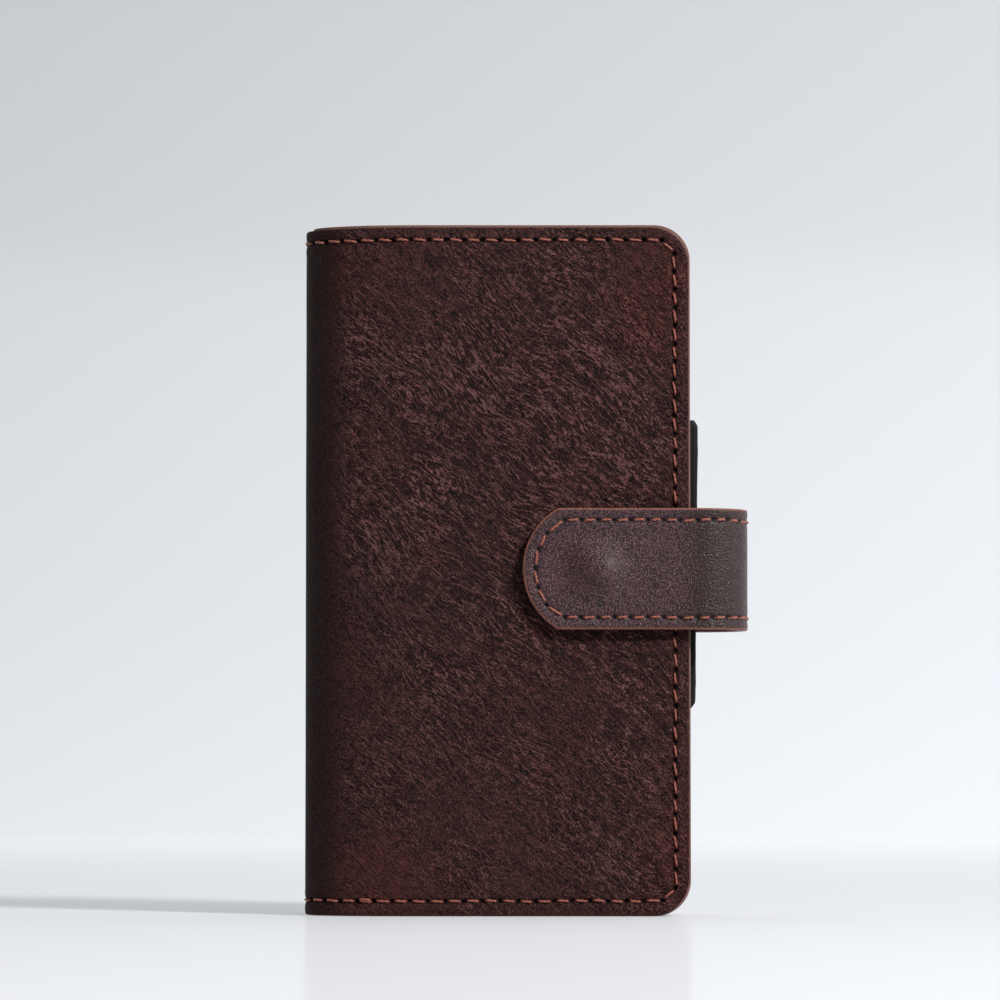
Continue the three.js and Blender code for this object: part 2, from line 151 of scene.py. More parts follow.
def add_mesh(name, verts, faces, shade):
    """A new mesh whose faces are smooth where shade says so."""
    mesh = bpy.data.meshes.new(name)
    mesh.from_pydata(verts, [], faces)
    mesh.polygons.foreach_set("use_smooth", shade)
    return mesh


# ------------------------------------------------------------------ noise

class Noise:
    """Gradient noise over a plane, about -0.7 to 0.7, the same each run."""

    def __init__(self, seed):
        turn = np.random.default_rng(seed).uniform(0, 2 * math.pi, (256, 256))
        self.gx = np.cos(turn)
        self.gy = np.sin(turn)

    def __call__(self, u, v):
        u, v = np.broadcast_arrays(np.asarray(u, float), np.asarray(v, float))
        iu = np.floor(u).astype(int)
        iv = np.floor(v).astype(int)
        fu = u - iu
        fv = v - iv
        su = fu ** 3 * (fu * (fu * 6 - 15) + 10)
        sv = fv ** 3 * (fv * (fv * 6 - 15) + 10)

        def corner(du, dv):
            a = (iu + du) & 255
            b = (iv + dv) & 255
            return self.gx[a, b] * (fu - du) + self.gy[a, b] * (fv - dv)

        low = corner(0, 0) * (1 - su) + corner(1, 0) * su
        high = corner(0, 1) * (1 - su) + corner(1, 1) * su
        return low * (1 - sv) + high * sv


# ------------------------------------------------------------------ courses: a face's line in plan

class Course:
    """A line in plan by arc length.  outward is +1 where the outer side is on its right."""

    def __init__(self, points, outward):
        self.p = np.array(points, float)
        steps = np.hypot(*np.diff(self.p, axis=0).T)
        self.s = np.concatenate([[0.0], np.cumsum(steps)])
        tangent = np.gradient(self.p, self.s, axis=0)
        tangent /= np.linalg.norm(tangent, axis=1)[:, None]
        self.n = outward * np.stack([tangent[:, 1], -tangent[:, 0]], axis=1)
        self.outward = outward
        self.length = self.s[-1]

    def plan(self, s, depth=0.0):
        x = np.interp(s, self.s, self.p[:, 0])
        y = np.interp(s, self.s, self.p[:, 1])
        nx = np.interp(s, self.s, self.n[:, 0])
        ny = np.interp(s, self.s, self.n[:, 1])
        size = np.hypot(nx, ny)
        return x - nx / size * depth, y - ny / size * depth

    def at(self, s, z, depth=0.0):
        x, y = self.plan(s, depth)
        return world(x, y, z)

    def s_of_x(self, x):
        """Length at a case x on the last, straight stretch."""
        return self.length - abs(self.p[-1, 0] - x)


def bezier(points, steps=160):
    t = np.linspace(0, 1, steps + 1)[:, None]
    a, b, c, d = (np.array(p, float) for p in points)
    return a * (1 - t) ** 3 + 3 * b * t * (1 - t) ** 2 + 3 * c * t * t * (1 - t) + d * t ** 3


def cover_course(points, outward):
    bend = bezier(points)
    flat_y = points[-1][1]
    flat = [(x, flat_y) for x in np.linspace(points[-1][0], CASE_WIDTH, 60)[1:]]
    return Course(np.vstack([bend, flat]), outward)


def arc(cx, cy, radius, start, end, steps=40):
    angle = np.radians(np.linspace(start, end, steps + 1))
    return np.stack([cx + radius * np.cos(angle), cy + radius * np.sin(angle)], axis=1)


FRONT = cover_course(FRONT_BEZIER, 1)
BACK = cover_course(BACK_BEZIER, -1)
BEND_X = STRAP_OUTER_X - STRAP_BEND
STRAP_SIDE_Y = (STRAP_ROOT_Y + TAB_Y) / 2
REAR_STRAP = Course(np.vstack([
    [(x, STRAP_ROOT_Y) for x in np.linspace(61.0, BEND_X, 30)[:-1]],
    arc(BEND_X, STRAP_ROOT_Y - STRAP_BEND, STRAP_BEND, 90, 0),
    [(STRAP_OUTER_X, STRAP_SIDE_Y)],
]), -1)
FORE_STRAP = Course(np.vstack([
    [(STRAP_OUTER_X, STRAP_SIDE_Y)],
    arc(BEND_X, TAB_Y + STRAP_BEND, STRAP_BEND, 0, -90),
    [(x, TAB_Y) for x in np.linspace(BEND_X, TIP_X, 60)[1:]],
]), -1)


# ------------------------------------------------------------------ sheets

def edge_profile(thickness, outer, inner, steps=4):
    """(inset, depth) pairs round a sheet's cut edge, from its outer face to its inner face."""
    pairs = []
    for k in range(1, steps + 1):
        a = math.pi / 2 * k / steps
        pairs.append((outer * (1 - math.sin(a)), outer * (1 - math.cos(a))))
    pairs.append((0.0, (outer + thickness - inner) / 2))
    for k in range(steps + 1):
        a = math.pi / 2 * k / steps
        pairs.append((inner * (1 - math.cos(a)), thickness - inner * (1 - math.sin(a))))
    return pairs


def chain_normals(s, z, closed):
    if closed:
        ts = np.roll(s, -1) - np.roll(s, 1)
        tz = np.roll(z, -1) - np.roll(z, 1)
    else:
        ts = np.gradient(s)
        tz = np.gradient(z)
    size = np.maximum(np.hypot(ts, tz), 1e-9)
    return tz / size, -ts / size


class Sheet:
    """A closed shell of one sheet: a displaced outer face, rounded cut edges, a plain inner face."""

    def __init__(self, name, course, s, z, height, profile, near_cut=False, hole=None,
                 base_depth=0.0, thick=None):
        self.name = name
        self.course = course
        self.thick = thick or (lambda s: 1.0)
        self.sign = 1.0 if s[-1, 0] > s[0, 0] else -1.0
        self.reversed = self.sign * course.outward < 0
        self.verts = []
        self.count = 0
        self.faces = []
        self.flat = []
        self.edge = []
        self.plain = set()
        self.profile = profile
        self.base = base_depth
        n, m = s.shape
        depth = base_depth - height
        self.add(s.ravel(), z.ravel(), np.ravel(depth), np.full(n * m, INTERIOR))
        index = np.arange(n * m).reshape(n, m)
        self.grid_faces(index, hole)
        chain = self.outer_chain(index, near_cut)
        last = self.border(chain, s, z, height, near_cut)
        if hole:
            hole_chain = self.hole_chain(index, hole)
            hole_last = self.border(hole_chain, s, z, height, True)
            pairs = ((chain, last), (hole_chain, hole_last))
            self.back_grid(index, s, z, pairs, near_cut, hole)
        else:
            self.back(index, chain, last, near_cut)

    def add(self, s, z, depth, edge):
        self.verts.append(self.course.at(s, z, depth))
        self.flat.append(np.stack(np.broadcast_arrays(s, z, depth), axis=-1))
        self.edge.append(np.broadcast_to(edge, s.shape))
        start = self.count
        self.count += len(s)
        return np.arange(start, self.count)

    def quad(self, a, b, c, d):
        quads = np.stack([a, b, c, d], axis=-1).reshape(-1, 4)
        if self.reversed:
            quads = quads[:, ::-1]
        self.faces.extend(quads.tolist())

    def polygon(self, loop):
        loop = [int(i) for i in loop]
        self.plain.add(len(self.faces))
        self.faces.append(loop[::-1] if self.reversed else loop)

    def grid_faces(self, index, hole):
        n, m = index.shape
        keep = np.ones((n - 1, m - 1), bool)
        if hole:
            i0, i1, j0, j1 = hole
            keep[i0:i1, j0:j1] = False
        self.quad(index[:-1, :-1][keep], index[1:, :-1][keep],
                  index[1:, 1:][keep], index[:-1, 1:][keep])

    @staticmethod
    def outer_chain(index, near_cut):
        parts = [index[:, 0], index[-1, 1:], index[:-1, -1][::-1]]
        if near_cut:
            parts.append(index[0, 1:-1][::-1])
        return np.concatenate(parts)

    @staticmethod
    def hole_chain(index, hole):
        i0, i1, j0, j1 = hole
        return np.concatenate([
            index[i0, j0:j1], index[i0:i1, j1], index[i1, j0 + 1:j1 + 1][::-1],
            index[i0 + 1:i1 + 1, j0][::-1],
        ])

    def border(self, chain, s, z, height, closed):
        """Rings of faces round a chain of border points; gives the last ring's points."""
        cs = s.ravel()[chain]
        cz = z.ravel()[chain]
        ch = np.ravel(height)[chain]
        ns, nz = chain_normals(cs, cz, closed)
        ns, nz = ns * self.sign, nz * self.sign
        scale = self.thick(cs)
        start = self.profile[0][0] / (1 - math.sin(math.pi / 8)) if self.profile[0][0] else 0.0
        thickness = self.profile[-1][1]
        before = chain
        for inset, depth in self.profile:
            out = start - inset
            fade = 1 - depth / thickness
            level = self.base + depth * scale - ch * fade
            ring = self.add(cs + ns * out, cz + nz * out, level, inset)
            a, b = before, ring
            if closed:
                self.quad(b, np.roll(b, -1), np.roll(a, -1), a)
            else:
                self.quad(b[:-1], b[1:], a[1:], a[:-1])
            before = ring
        return before

    def back(self, index, chain, last, near_cut):
        """The inner face in plain strips, one from the bottom to the top for each column."""
        n, m = index.shape
        low = last[:n]
        end = last[n:n + m - 2]
        high = last[n + m - 2:2 * n + m - 2][::-1]
        near = last[2 * n + m - 2:][::-1] if near_cut else []
        for i in range(n - 1):
            first = [low[0], *near, high[0]] if i == 0 else [low[i], high[i]]
            second = [high[i + 1], low[i + 1]]
            if i == n - 2:
                second = [high[i + 1], *end[::-1], low[i + 1]]
            self.polygon(first + second)
        if not near_cut:
            self.cap(index, chain)

    def back_grid(self, index, s, z, pairs, near_cut, hole):
        """The inner face of a sheet with a window: the outer face's grid again, kept smooth."""
        n, m = index.shape
        i0, i1, j0, j1 = hole
        behind = np.full(n * m, -1)
        for chain, ring in pairs:
            behind[chain] = ring
        solid = np.ones((n, m), bool)
        solid[i0 + 1:i1, j0 + 1:j1] = False
        fill = (behind < 0) & solid.ravel()
        inner = s.ravel()[fill]
        depth = self.base + self.profile[-1][1] * self.thick(inner) * np.ones(len(inner))
        behind[fill] = self.add(inner, z.ravel()[fill], depth, INTERIOR)
        behind = behind.reshape(n, m)
        keep = np.ones((n - 1, m - 1), bool)
        keep[i0:i1, j0:j1] = False
        self.quad(behind[:-1, :-1][keep], behind[:-1, 1:][keep],
                  behind[1:, 1:][keep], behind[1:, :-1][keep])
        if not near_cut:
            self.cap(index, pairs[0][0], behind[0, 1:-1].tolist())

    def cap(self, index, chain, near_back=()):
        """The flat cut where this sheet meets its other half."""
        rings = len(self.profile)
        n, m = index.shape
        size = len(chain)
        first_ring = n * m
        bottom = [first_ring + k * size for k in range(rings)]
        top = [first_ring + k * size + size - 1 for k in range(rings)]
        self.polygon([*index[0, ::-1].tolist(), *bottom, *near_back, *top[::-1]])

    def build(self, extra=None, start=0.0):
        """The mesh; start is the length along the course at which its grain coordinate is 0."""
        shade = np.ones(len(self.faces), bool)
        shade[list(self.plain)] = False
        mesh = add_mesh(self.name, np.concatenate(self.verts).tolist(), self.faces, shade)
        flat = np.concatenate(self.flat)
        edge = np.concatenate(self.edge)
        set_vector(mesh, "flat", flat - (start, 0.0, 0.0))
        values = {"edge": edge}
        if extra:
            values.update(extra(flat[:, 0], flat[:, 1], edge))
        for key, value in values.items():
            set_value(mesh, key, value)
        mesh.validate()
        return add_object(self.name, mesh)


def set_value(mesh, name, values):
    attribute = mesh.attributes.new(name, "FLOAT", "POINT")
    attribute.data.foreach_set("value", np.asarray(values, np.float32))


def set_vector(mesh, name, values):
    attribute = mesh.attributes.new(name, "FLOAT_VECTOR", "POINT")
    attribute.data.foreach_set("vector", np.asarray(values, np.float32).ravel())


def spaced(stops):
    """Rising values through (position, spacing) stops, close together where spacing is small."""
    values = [stops[0][0]]
    for (a, da), (b, db) in zip(stops, stops[1:]):
        count = max(1, int(round((b - a) / ((da + db) / 2))))
        weights = np.linspace(da, db, count)
        steps = np.cumsum(weights) / weights.sum() * (b - a)
        values.extend((a + steps).tolist())
    return np.array(values)


def corner_rise(count):
    """Even steps round a quarter turn, as a share of its radius."""
    return np.sin(np.radians(np.linspace(0, 90, count)))


def corner_drop(rows, low, high, radius):
    """How far each row stops short of the side, for round corners at the low and high end."""
    over = np.maximum(low + radius - rows, rows - (high - radius))
    return np.where(over > 0, radius - np.sqrt(np.maximum(radius ** 2 - over ** 2, 0)), 0)


def tube_quads(index):
    """Faces between rings of points, each ring closed."""
    right = np.roll(index, -1, axis=1)
    return np.stack([index[:-1], right[:-1], right[1:], index[1:]], -1).reshape(-1, 4)


# ------------------------------------------------------------------ the covers' sheets

def cover_edge(x, z, radius=CORNER):
    """Distance from a point of the cover to its cut outline."""
    cx = CASE_WIDTH - radius
    dx = x - cx
    dz = np.maximum(radius - z, z - (CASE_HEIGHT - radius))
    corner = radius - np.hypot(np.maximum(dx, 0), np.maximum(dz, 0))
    inside = np.minimum(CASE_WIDTH - x, np.minimum(z, CASE_HEIGHT - z))
    return np.where((dx > 0) & (dz > 0), corner, inside)


def cover_grid(course, columns, inset, side_inset, radius, fine, spacing=0.45):
    """s and z of a cover's grid, its far edge bent to the cut outline's corners."""
    top = CASE_HEIGHT - inset[1]
    bottom = inset[0]
    corner_rows = corner_rise(fine)
    low_z = bottom + radius - radius * corner_rows[::-1]
    high_z = top - radius + radius * corner_rows
    gap = spacing * QUICK
    middle = spaced([(bottom + radius, gap), (top - radius, gap)])[1:-1]
    rows = np.concatenate([low_z, middle, high_z])
    right = CASE_WIDTH - side_inset
    drop = corner_drop(rows, bottom, top, radius)
    end = course.s_of_x(right)
    weight = smooth(columns, end - 30, end)[:, None]
    s = columns[:, None] - weight * drop[None, :]
    z = np.broadcast_to(rows[None, :], s.shape).copy()
    return s, z


def seam_holes(course, rng):
    """The cover seam's holes as rows of (s, z), from the spine's top round to its bottom."""
    side_x = course.s_of_x(CASE_WIDTH - SEAM_INSET - 0.1)
    turn_x = course.s_of_x(CASE_WIDTH - SEAM_TURN)
    top = CASE_HEIGHT - SEAM_INSET
    count = int(round(turn_x / STITCH))
    run = np.linspace(0, turn_x, count + 1)
    holes = [(s, top) for s in run]
    rows = int(round((CASE_HEIGHT - 2 * SEAM_TURN) / STITCH))
    holes += [(side_x, z) for z in np.linspace(CASE_HEIGHT - SEAM_TURN, SEAM_TURN, rows + 1)]
    holes += [(s, SEAM_INSET) for s in run[::-1]]
    holes = np.array(holes)
    free = (holes[:, 0] > 0.1)[:, None]
    return holes + rng.normal(0, 0.07, holes.shape) * free


def seam_frames(holes):
    """Per hole, the seam's direction there."""
    ahead = np.gradient(holes, axis=0)
    return ahead / np.linalg.norm(ahead, axis=1)[:, None]


def line_distance(s, z, points):
    """Distance from each (s, z) to a broken line."""
    best = np.full(s.shape, 1e9)
    for a, b in zip(points, points[1:]):
        d = b - a
        size = float(d @ d)
        t = np.clip(((s - a[0]) * d[0] + (z - a[1]) * d[1]) / size, 0, 1)
        best = np.minimum(best, np.hypot(s - a[0] - t * d[0], z - a[1] - t * d[1]))
    return best


def hole_field(s, z, holes, along=0.58, across=0.4):
    """1 inside a stitch hole, 0 outside, on the grid's points near the holes only."""
    field = np.zeros(s.shape)
    ways = seam_frames(holes)
    order = np.argsort(s)
    sorted_s = s[order]
    for (hs, hz), (ds, dz) in zip(holes, ways):
        a, b = np.searchsorted(sorted_s, [hs - 1.2, hs + 1.2])
        pick = order[a:b]
        pick = pick[np.abs(z[pick] - hz) < 1.2]
        u = (s[pick] - hs) * ds + (z[pick] - hz) * dz
        v = (s[pick] - hs) * dz - (z[pick] - hz) * ds
        r = np.hypot(u / along, v / across)
        field[pick] = np.maximum(field[pick], 1 - smooth(r, 0.62, 1.25))
    return field


def seam_dent(s, z, holes):
    """How the seam pulls the leather in: a shallow channel, and a punched hole at each stitch."""
    path = line_distance(s, z, simplify(holes))
    channel = -0.16 * np.exp(-(path / 0.75) ** 2) + 0.05 * np.exp(-((path - 1.7) / 0.7) ** 2)
    return channel - 0.6 * hole_field(s, z, holes, 0.60, 0.48)


def simplify(holes):
    """The seam's corners only."""
    keep = [0]
    for k in range(1, len(holes) - 1):
        a = holes[k] - holes[k - 1]
        b = holes[k + 1] - holes[k]
        turn = abs(a[0] * b[1] - a[1] * b[0]) / (np.linalg.norm(a) * np.linalg.norm(b) + 1e-9)
        if turn > 0.25:
            keep.append(k)
    keep.append(len(holes) - 1)
    return holes[keep]


def hide_folds(s, z, x, seed):
    """The cover leather's diagonal folds and pebbles, about -1 to 1, calm at the spine."""
    warp, fold, pebble, mask = (Noise(seed + k) for k in range(4))
    ws = s + 9 * warp(s / 45, z / 45) + 1.0 * warp(s / 5 + 5, z / 5)
    wz = z + 9 * warp(s / 45 + 31, z / 45 + 17) + 1.0 * warp(s / 5 + 50, z / 5)
    across = ws * 0.72 + wz * 0.69
    along = ws * 0.69 - wz * 0.72
    long_folds = 1 - np.abs(fold(across / 2.6, along / 8.5)) * 4.0
    short_folds = 1 - np.abs(fold(across / 1.35 + 60, along / 3.4)) * 3.6
    pebbles = pebble(across / 1.0, along / 1.6) * 1.9
    loud = np.clip(0.35 + 1.5 * mask(s / 26, z / 30), 0, 1)
    folds = 0.55 * long_folds * (0.35 + 0.65 * loud) + 0.45 * short_folds + 0.6 * pebbles
    quiet = smooth(x, 2, 15) * smooth(cover_edge(x, z), 0.6, 3.0)
    return folds * (0.10 + 0.90 * quiet)


def hide_waves(s, z, x, seed):
    broad = Noise(seed + 9)
    near_edge = smooth(cover_edge(x, z), 1.0, 7.0)
    waves = 0.20 * broad(s / 34, z / 38) + 0.10 * broad(s / 13 + 9, z / 15)
    return waves * (0.25 + 0.75 * near_edge)


def cover_columns(course, right, fine):
    end = course.s_of_x(right)
    seam = course.s_of_x(CASE_WIDTH - SEAM_INSET - 0.1)
    q = QUICK
    return spaced([
        (0, 0.5 * q), (seam - 6, 0.5 * q), (seam - 1.3, fine * q), (seam + 1.3, fine * q),
        (end, 0.28 * q),
    ])


def open_window(course, s, z, grow):
    """Bends the grid round the camera window; gives the block of cells to leave out."""
    s0, s1 = course.s_of_x(WINDOW[0] - grow), course.s_of_x(WINDOW[1] + grow)
    z0, z1 = WINDOW[2] - grow, WINDOW[3] + grow
    cs, cz = (s0 + s1) / 2, (z0 + z1) / 2
    half_s, half_z = (s1 - s0) / 2, (z1 - z0) / 2
    middle_row = s.shape[1] // 3
    i0 = int(np.argmin(np.abs(s[:, middle_row] - s0)))
    i1 = int(np.argmin(np.abs(s[:, middle_row] - s1)))
    j0 = int(np.argmin(np.abs(z[0] - z0)))
    j1 = int(np.argmin(np.abs(z[0] - z1)))
    gs0, gs1 = s[i0, middle_row], s[i1, middle_row]
    gz0, gz1 = z[0, j0], z[0, j1]
    us = (s - (gs0 + gs1) / 2) / ((gs1 - gs0) / 2)
    uz = (z - (gz0 + gz1) / 2) / ((gz1 - gz0) / 2)
    reach = np.maximum(np.abs(us), np.abs(uz))
    on_s = us / np.maximum(reach, 1e-6)
    on_z = uz / np.maximum(reach, 1e-6)
    target_s, target_z = rounded_square(on_s, on_z, half_s, half_z, WINDOW_RADIUS + grow)
    edge_s = on_s * (gs1 - gs0) / 2 + (gs0 + gs1) / 2
    edge_z = on_z * (gz1 - gz0) / 2 + (gz0 + gz1) / 2
    pull = 1 - smooth(reach, 1.0, 1.36)
    new_s = s + (cs + target_s - edge_s) * pull
    new_z = z + (cz + target_z - edge_z) * pull
    return new_s, new_z, (i0, i1, j0, j1)


def rounded_square(us, uz, half_s, half_z, radius):
    """A point of the unit square's edge, moved onto a rounded rectangle's edge."""
    ps, pz = us * half_s, uz * half_z
    inner_s, inner_z = half_s - radius, half_z - radius
    over_s = np.abs(ps) - inner_s
    over_z = np.abs(pz) - inner_z
    in_corner = (over_s > 0) & (over_z > 0)
    # equal steps along the square's two sides become equal steps along the corner's arc
    on_side = np.abs(us) >= np.abs(uz) - 1e-9
    share = np.where(on_side, over_z, over_s) / radius
    angle = np.where(on_side, share * math.pi / 4, math.pi / 2 - share * math.pi / 4)
    cs = np.sign(ps) * (inner_s + radius * np.cos(angle))
    cz = np.sign(pz) * (inner_z + radius * np.sin(angle))
    return np.where(in_corner, cs, ps), np.where(in_corner, cz, pz)


def window_distance(x, z):
    cx, cz = (WINDOW[0] + WINDOW[1]) / 2, (WINDOW[2] + WINDOW[3]) / 2
    half = (WINDOW[1] - WINDOW[0]) / 2
    dx = np.abs(x - cx) - (half - WINDOW_RADIUS)
    dz = np.abs(z - cz) - (half - WINDOW_RADIUS)
    outer = np.hypot(np.maximum(dx, 0), np.maximum(dz, 0)) - WINDOW_RADIUS
    return np.where((dx > 0) | (dz > 0), outer, np.maximum(dx, dz) - WINDOW_RADIUS)


def leather_cover(name, course, seed, windowed):
    """One cover's outer leather, from the middle of the spine to the fore-edge."""
    rng = np.random.default_rng(seed)
    holes = seam_holes(course, rng)
    columns = cover_columns(course, CASE_WIDTH - CUT[2] - ROUND, 0.22)
    s, z = cover_grid(course, columns, (CUT[0] + ROUND, CUT[1] + ROUND), CUT[2] + ROUND,
                      CORNER - ROUND + 0.4, int(46 / QUICK))
    hole = None
    if windowed:
        s, z, hole = open_window(course, s, z, ROUND)
    x = course.plan(s)[0]
    height = hide_waves(s, z, x, seed) + FOLD_HEIGHT * hide_folds(s, z, x, seed)
    if windowed:
        height *= smooth(window_distance(x, z), 0.4, 5.0) * 0.9 + 0.1
    dent = seam_dent(s.ravel(), z.ravel(), holes).reshape(s.shape)
    near_mid = smooth(s, 0.0, 2.0)
    height = height * (0.25 + 0.75 * near_mid) + dent
    profile = edge_profile(LEATHER, ROUND, 0.3)
    sheet = Sheet(name, course, s, z, height, profile, hole=hole)

    def extra(fs, fz, edge):
        fx = course.plan(fs)[0]
        rim = np.minimum(edge, np.maximum(cover_edge(fx, fz) - 0.3, 0))
        if windowed:
            rim = np.minimum(rim, np.maximum(window_distance(fx, fz), 0))
        return {
            "edge": rim,
            "pierced": hole_field(fs, fz, holes, 0.64, 0.50),
            "calm": 1 - smooth(fx, 2, 13),
            "patch": patches(fx, fz, seed),
            "folds": hide_folds(fs, fz, fx, seed),
            "creased": creased(fx, fz, seed),
        }

    return sheet.build(extra), holes


def creased(x, z, seed):
    """How strongly the long creases show, 0 to about 1.3: most in the cover's upper half."""
    low = Noise(seed + 50)
    upper = 0.80 * np.exp(-((x - 36) / 30) ** 2 - ((z - 100) / 44) ** 2)
    side = 0.55 * np.exp(-((x - 68) / 16) ** 2 - ((z - 60) / 46) ** 2)
    pebbly = 0.35 * np.exp(-((x - 30) / 12) ** 2 - ((z - 45) / 14) ** 2)
    upper_right = 0.55 * np.exp(-((x - 68) / 15) ** 2 - ((z - 118) / 26) ** 2)
    return np.clip(0.36 + upper + upper_right + side + pebbly + 0.8 * low(x / 17, z / 19), 0.08, 1.3)


def patches(x, z, seed):
    """Where the tone is redder (above 0) or darker (below 0)."""
    low = Noise(seed + 40)

    def spot(cx, cz, rx, rz, size):
        return size * np.exp(-((x - cx) / rx) ** 2 - ((z - cz) / rz) ** 2)

    red = spot(78, 138, 12, 16, 0.9) + spot(80, 14, 9, 14, 1.0) + spot(14, 6, 16, 12, 1.0)
    red += spot(20, 120, 12, 20, 0.25)
    dark = spot(38, 70, 16, 14, 0.5) + spot(50, 96, 18, 16, 0.3) + spot(12, 60, 10, 40, 0.3)
    return red - dark + 0.7 * low(x / 22, z / 26) + 0.35 * low(x / 8 + 3, z / 9 + 8)


# ------------------------------------------------------------------ the strap's sheets

def strap_grid(course, columns, inset, tip):
    """s and z of the strap's grid; with a tip, its far edge is bent to the cut arc."""
    half = STRAP_HALF - inset
    fine = 0.25 * QUICK
    seam = STRAP_HALF - STRAP_SEAM_INSET
    up = spaced([(0, 0.42 * QUICK), (seam - 1.2, fine), (half, fine)])
    rows = np.concatenate([-up[::-1], up[1:]])
    s = np.broadcast_to(columns[:, None], (len(columns), len(rows))).copy()
    if tip:
        radius = TIP_RADIUS - inset
        centre = TIP_X + TIP_RADIUS
        end_x = centre - np.sqrt(radius ** 2 - rows ** 2)
        drop = end_x - (TIP_X + inset)
        end = course.s_of_x(TIP_X + inset)
        weight = smooth(columns, end - 24, end)[:, None]
        s = s - weight * drop[None, :]
    z = STRAP_MIDDLE + np.broadcast_to(rows[None, :], s.shape)
    return s, z.copy()


def strap_holes(course, start, tip, rng):
    """Holes of the strap's edge seam; with a tip, round it in one run."""
    half = STRAP_HALF - STRAP_SEAM_INSET
    pitch = 3.82
    if not tip:
        run = np.arange(start, course.length - 0.2, pitch)
        run = run + (course.length - run[-1])
        low = np.stack([run, np.full_like(run, STRAP_MIDDLE - half)], axis=1)
        high = np.stack([run, np.full_like(run, STRAP_MIDDLE + half)], axis=1)
        return [low, high]
    radius = TIP_RADIUS - STRAP_SEAM_INSET
    opening = math.asin(half / radius)
    centre_s = course.s_of_x(TIP_X + TIP_RADIUS)
    straight = centre_s + radius * math.cos(opening) - 0.6
    run = np.linspace(0, straight, int(round(straight / pitch)) + 1)
    steps = int(round(2 * opening * radius / 4.0))
    angles = np.linspace(-opening, opening, steps + 1)[1:-1]
    points = [(s, -half) for s in run]
    points += [(centre_s + radius * math.cos(a), radius * math.sin(a)) for a in angles]
    points += [(s, half) for s in run[::-1]]
    holes = np.array(points)
    holes[:, 1] += STRAP_MIDDLE
    free = (holes[:, 0] > 0.1)[:, None]
    return [holes + rng.normal(0, 0.08, holes.shape) * free]


def strap_relief(s, z, x, flat, seed):
    broad, fine = Noise(seed), Noise(seed + 1)
    waves = 0.10 * broad(s / 16, z / 12) + 0.05 * broad(s / 7 + 4, z / 6)
    creases = 0.02 * (1 - np.abs(fine(s / 1.7 + z / 3, z / 1.9)) * 2)
    r = np.hypot(x - MAGNET_X, z - STRAP_MIDDLE)
    crown = np.hypot(x - MAGNET_X - 1.6, z - STRAP_MIDDLE + 1.2)
    bump = 1.15 * (1 - smooth(r, 1.6, 8.2)) * flat
    bump = bump + 0.7 * (1 - smooth(crown, 0.4, 4.8)) * flat
    return waves * 0.8 + creases + bump


def strap_columns(course, tip, inset, start=0.0):
    end = course.s_of_x(TIP_X + inset) if tip else course.length
    columns = np.linspace(start, end, int((end - start) / (0.34 * QUICK)))
    return columns if tip else columns[::-1]


def leather_strap(name, course, tip, seed):
    rng = np.random.default_rng(seed)
    groups = strap_holes(course, 27.5, tip, rng)
    s, z = strap_grid(course, strap_columns(course, tip, 0.35), 0.35, tip)
    x, y = course.plan(s)
    flat = (y < TAB_Y + 0.01).astype(float)
    start = 0.0 if tip else course.length
    height = strap_relief(s - start, z, x, flat, 7)
    for holes in groups:
        height = height + seam_dent(s.ravel(), z.ravel(), holes).reshape(s.shape) * 0.8
    sheet = Sheet(name, course, s, z, height, edge_profile(1.25, 0.35, 0.2))

    def extra(fs, fz, edge):
        pierced = np.zeros(fs.shape)
        for holes in groups:
            pierced = np.maximum(pierced, hole_field(fs, fz, holes, 0.60, 0.46))
        px, py = course.plan(fs)
        rim = np.maximum(STRAP_HALF - np.abs(fz - STRAP_MIDDLE) - 0.2, 0)
        from_tip = TIP_RADIUS - np.hypot(px - TIP_X - TIP_RADIUS, fz - STRAP_MIDDLE)
        at_tip = px < TIP_X + TIP_RADIUS
        rim = np.where(at_tip, np.minimum(rim, np.maximum(from_tip - 0.2, 0)), rim)
        # Dark band round the fore bend: painted shade where the strap turns away from the light.
        rub = smooth(px, 82.0, 90.0) * (1 - smooth(py, -1.0, 8.0))
        return {"edge": np.minimum(edge, rim), "pierced": pierced, "rub": rub}

    return sheet.build(extra, start), groups


BENT_START = 25.3               # the underside shows from just before the rear bend


def strap_lining(name, course, tip):
    start = 0.0 if tip else BENT_START
    inset = 0.3
    columns = strap_columns(course, tip, inset, start)
    columns = columns[::3] if len(columns) % 3 == 1 else np.append(columns[::3], columns[-1])
    s, z = strap_grid(course, columns, inset, tip)
    profile = edge_profile(1.08, 0.2, 0.25)
    return Sheet(name, course, s, z, np.zeros(s.shape), profile, base_depth=1.3).build()


# ------------------------------------------------------------------ thread

